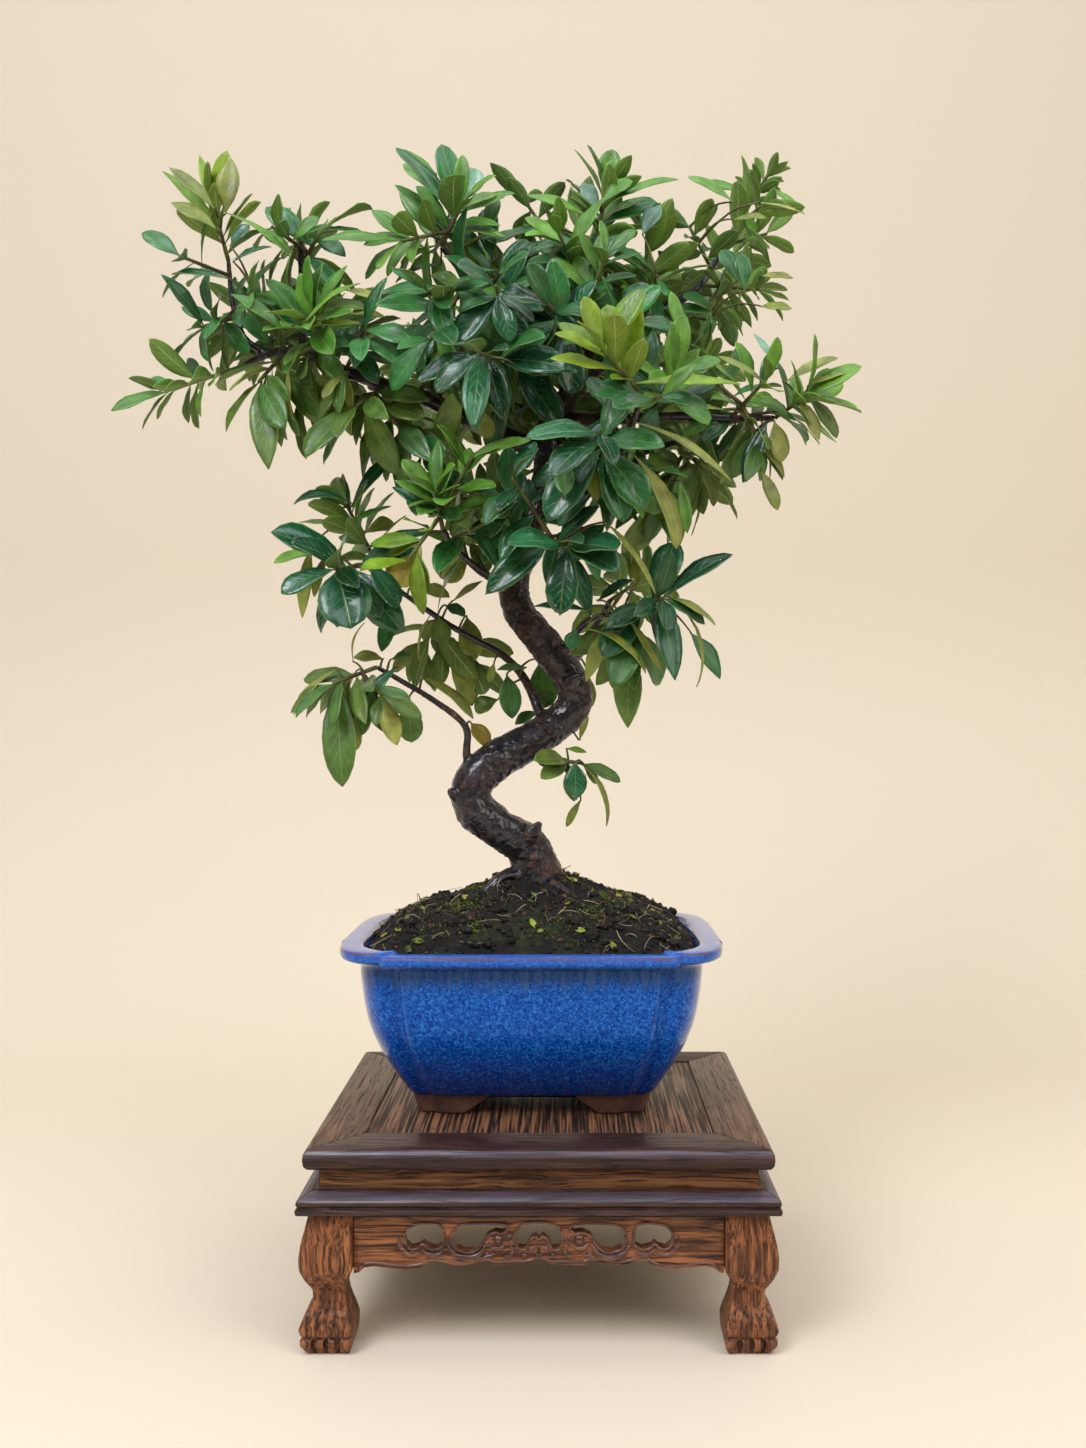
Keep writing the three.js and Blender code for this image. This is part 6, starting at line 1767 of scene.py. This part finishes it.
def paint(verts, layer, codes):
    colour = np.array(linearColour(scattering.choice(codes))[:3]) * scattering.uniform(0.75, 1.25)
    for vert in verts:
        vert[layer] = (*colour, 1)


def aimed(direction):
    return direction.to_track_quat("Z", "Y").to_matrix().to_4x4()


def anyTurn():
    return scattering.uniform(0, 6.28)


def addLump(bm, place, size, turn, shape, fineness):
    wide, high = [scattering.uniform(*limits) for limits in shape]
    matrix = Matrix.Translation(place) @ turn @ Matrix.Diagonal((size, size * wide, size * high, 1))
    return bmesh.ops.create_icosphere(bm, subdivisions=fineness, radius=1, matrix=matrix)["verts"]


def addCrumbs(bm, tone, values):
    for _ in range(values["each"]):
        place, _ = soilSpot()
        share, larger = values["large"]
        size = scattering.uniform(*values["size"]) * (larger if scattering.random() < share else 1)
        angle = anyTurn()
        axis = Vector((scattering.random(), scattering.random(), 1)).normalized()
        turn = Matrix.Rotation(angle, 4, axis)
        paint(addLump(bm, place, size, turn, values["shape"], 1), tone, values["colours"])


def addClod(bm, tone, values):
    place, _ = soilSpot(values["within"])
    size = scattering.uniform(*values["size"])
    verts = addLump(bm, place, size, Matrix.Rotation(anyTurn(), 4, "Z"), values["shape"], 3)
    for vert in verts:
        vert.co += (vert.co - place) * (values["knobs"] * noise.fractal(vert.co * 0.6, 1.0, 2.0, 4))
    paint(verts, tone, values["colours"])


def addMoss(bm, tone, values):
    middle, _ = soilSpot(values["within"])
    reach = scattering.uniform(*values["reach"])
    thick, thin = values["radii"]
    for _ in range(values["blades"]):
        x, y = middle.x + scattering.gauss(0, reach), middle.y + scattering.gauss(0, reach * 0.7)
        place, normal = soilBelow(x, y)
        if not place or place.z < values["lowest"]:
            continue
        lean = Vector((scattering.gauss(0, values["lean"]), scattering.gauss(0, values["lean"]), 0))
        lean = (normal + lean).normalized()
        height = scattering.uniform(*values["height"])
        matrix = Matrix.Translation(place + lean * (height / 2 - values["sunk"])) @ aimed(lean)
        made = bmesh.ops.create_cone(bm, cap_ends=True, segments=4, radius1=thick, radius2=thin, depth=height,
                                     matrix=matrix)
        paint(made["verts"], tone, values["colours"])


def addStraw(bm, tone, values):
    place, normal = soilSpot(values["within"])
    angle = anyTurn()
    length = scattering.uniform(*values["length"])
    least, most = values["rise"]
    share, highest = values["high"]
    rise = scattering.uniform(least, highest if scattering.random() < share else most)
    heading = Vector((math.cos(angle), math.sin(angle), 0))
    heading = (heading - normal * heading.dot(normal)).normalized()
    across = heading.cross(normal) * (scattering.uniform(*values["bend"]) * length)
    last = len(values["radii"]) - 1
    line = []
    for step in range(last + 1):
        share = step / last
        line.append(place + heading * (length * (share - 0.5)) + across * (4 * (share - 0.5) ** 2)
                    + normal * (rise * 4 * share * (1 - share) - values["sunk"]))
    thin = scattering.uniform(*values["thin"])
    sweep(bm, line, [radius * thin for radius in values["radii"]], 5)
    paint(bm.verts, tone, values["colours"])


def addBit(bm, tone, values):
    # a piece of a fallen leaf
    place, normal = soilSpot(values["within"])
    tilt = Vector((scattering.gauss(0, values["tilt"]), scattering.gauss(0, values["tilt"]), 0))
    size = scattering.uniform(*values["size"])
    matrix = Matrix.Translation(place + normal * values["lift"]) @ aimed(normal + tilt)
    matrix = matrix @ Matrix.Rotation(next(bitTurns), 4, "Z")
    made = bmesh.ops.create_grid(bm, x_segments=3, y_segments=3, size=1)["verts"]
    for vert in made:
        x, y = vert.co.x, vert.co.y
        half = 0.5 * math.sqrt(max(0.02, 1 - y * y))
        vert.co = matrix @ (size * Vector((x * half, y, values["curl"] * (x * x - 0.5))))
    paint(made, tone, values["colours"])


def scatter(name, kind, addSome):
    # batch by batch, because a large bmesh is slow to add to
    values = litterValues[kind]
    bm = bmesh.new()
    bm.verts.layers.float_color.new("litterTone")
    for _ in range(values["count"]):
        batch = bmesh.new()
        addSome(batch, batch.verts.layers.float_color.new("litterTone"), values)
        joinInto(bm, batch)
    return finishPiece(name, bm, [litter])


bm = shapedBy(copyOfNode("soil"), ("TRIANGULATE", {}),
              ("REMESH", {"mode": "VOXEL", "voxel_size": soilValues["voxel"]}))
bm.normal_update()
for vert in bm.verts:
    if vert.co.z > soilValues["top"] and vert.normal.z > 0.3:
        large, small = lumps(vert.co, 2.0, 5)
        vert.co.z += soilValues["rough"] * (large + 0.6 * small)
soilTree = BVHTree.FromBMesh(bm)
finishPiece("soil_mound", bm, [soilMaterial()], ["soil"])
litter = litterMaterial()
scatter("soil_crumbs", "crumbs", addCrumbs)
scatter("soil_clods", "clods", addClod)
scatter("moss", "moss", addMoss)
scatter("straws", "straws", addStraw)
thicken(scatter("leaf_bits", "bits", addBit), litterValues["bits"]["thick"])
print("soil made")
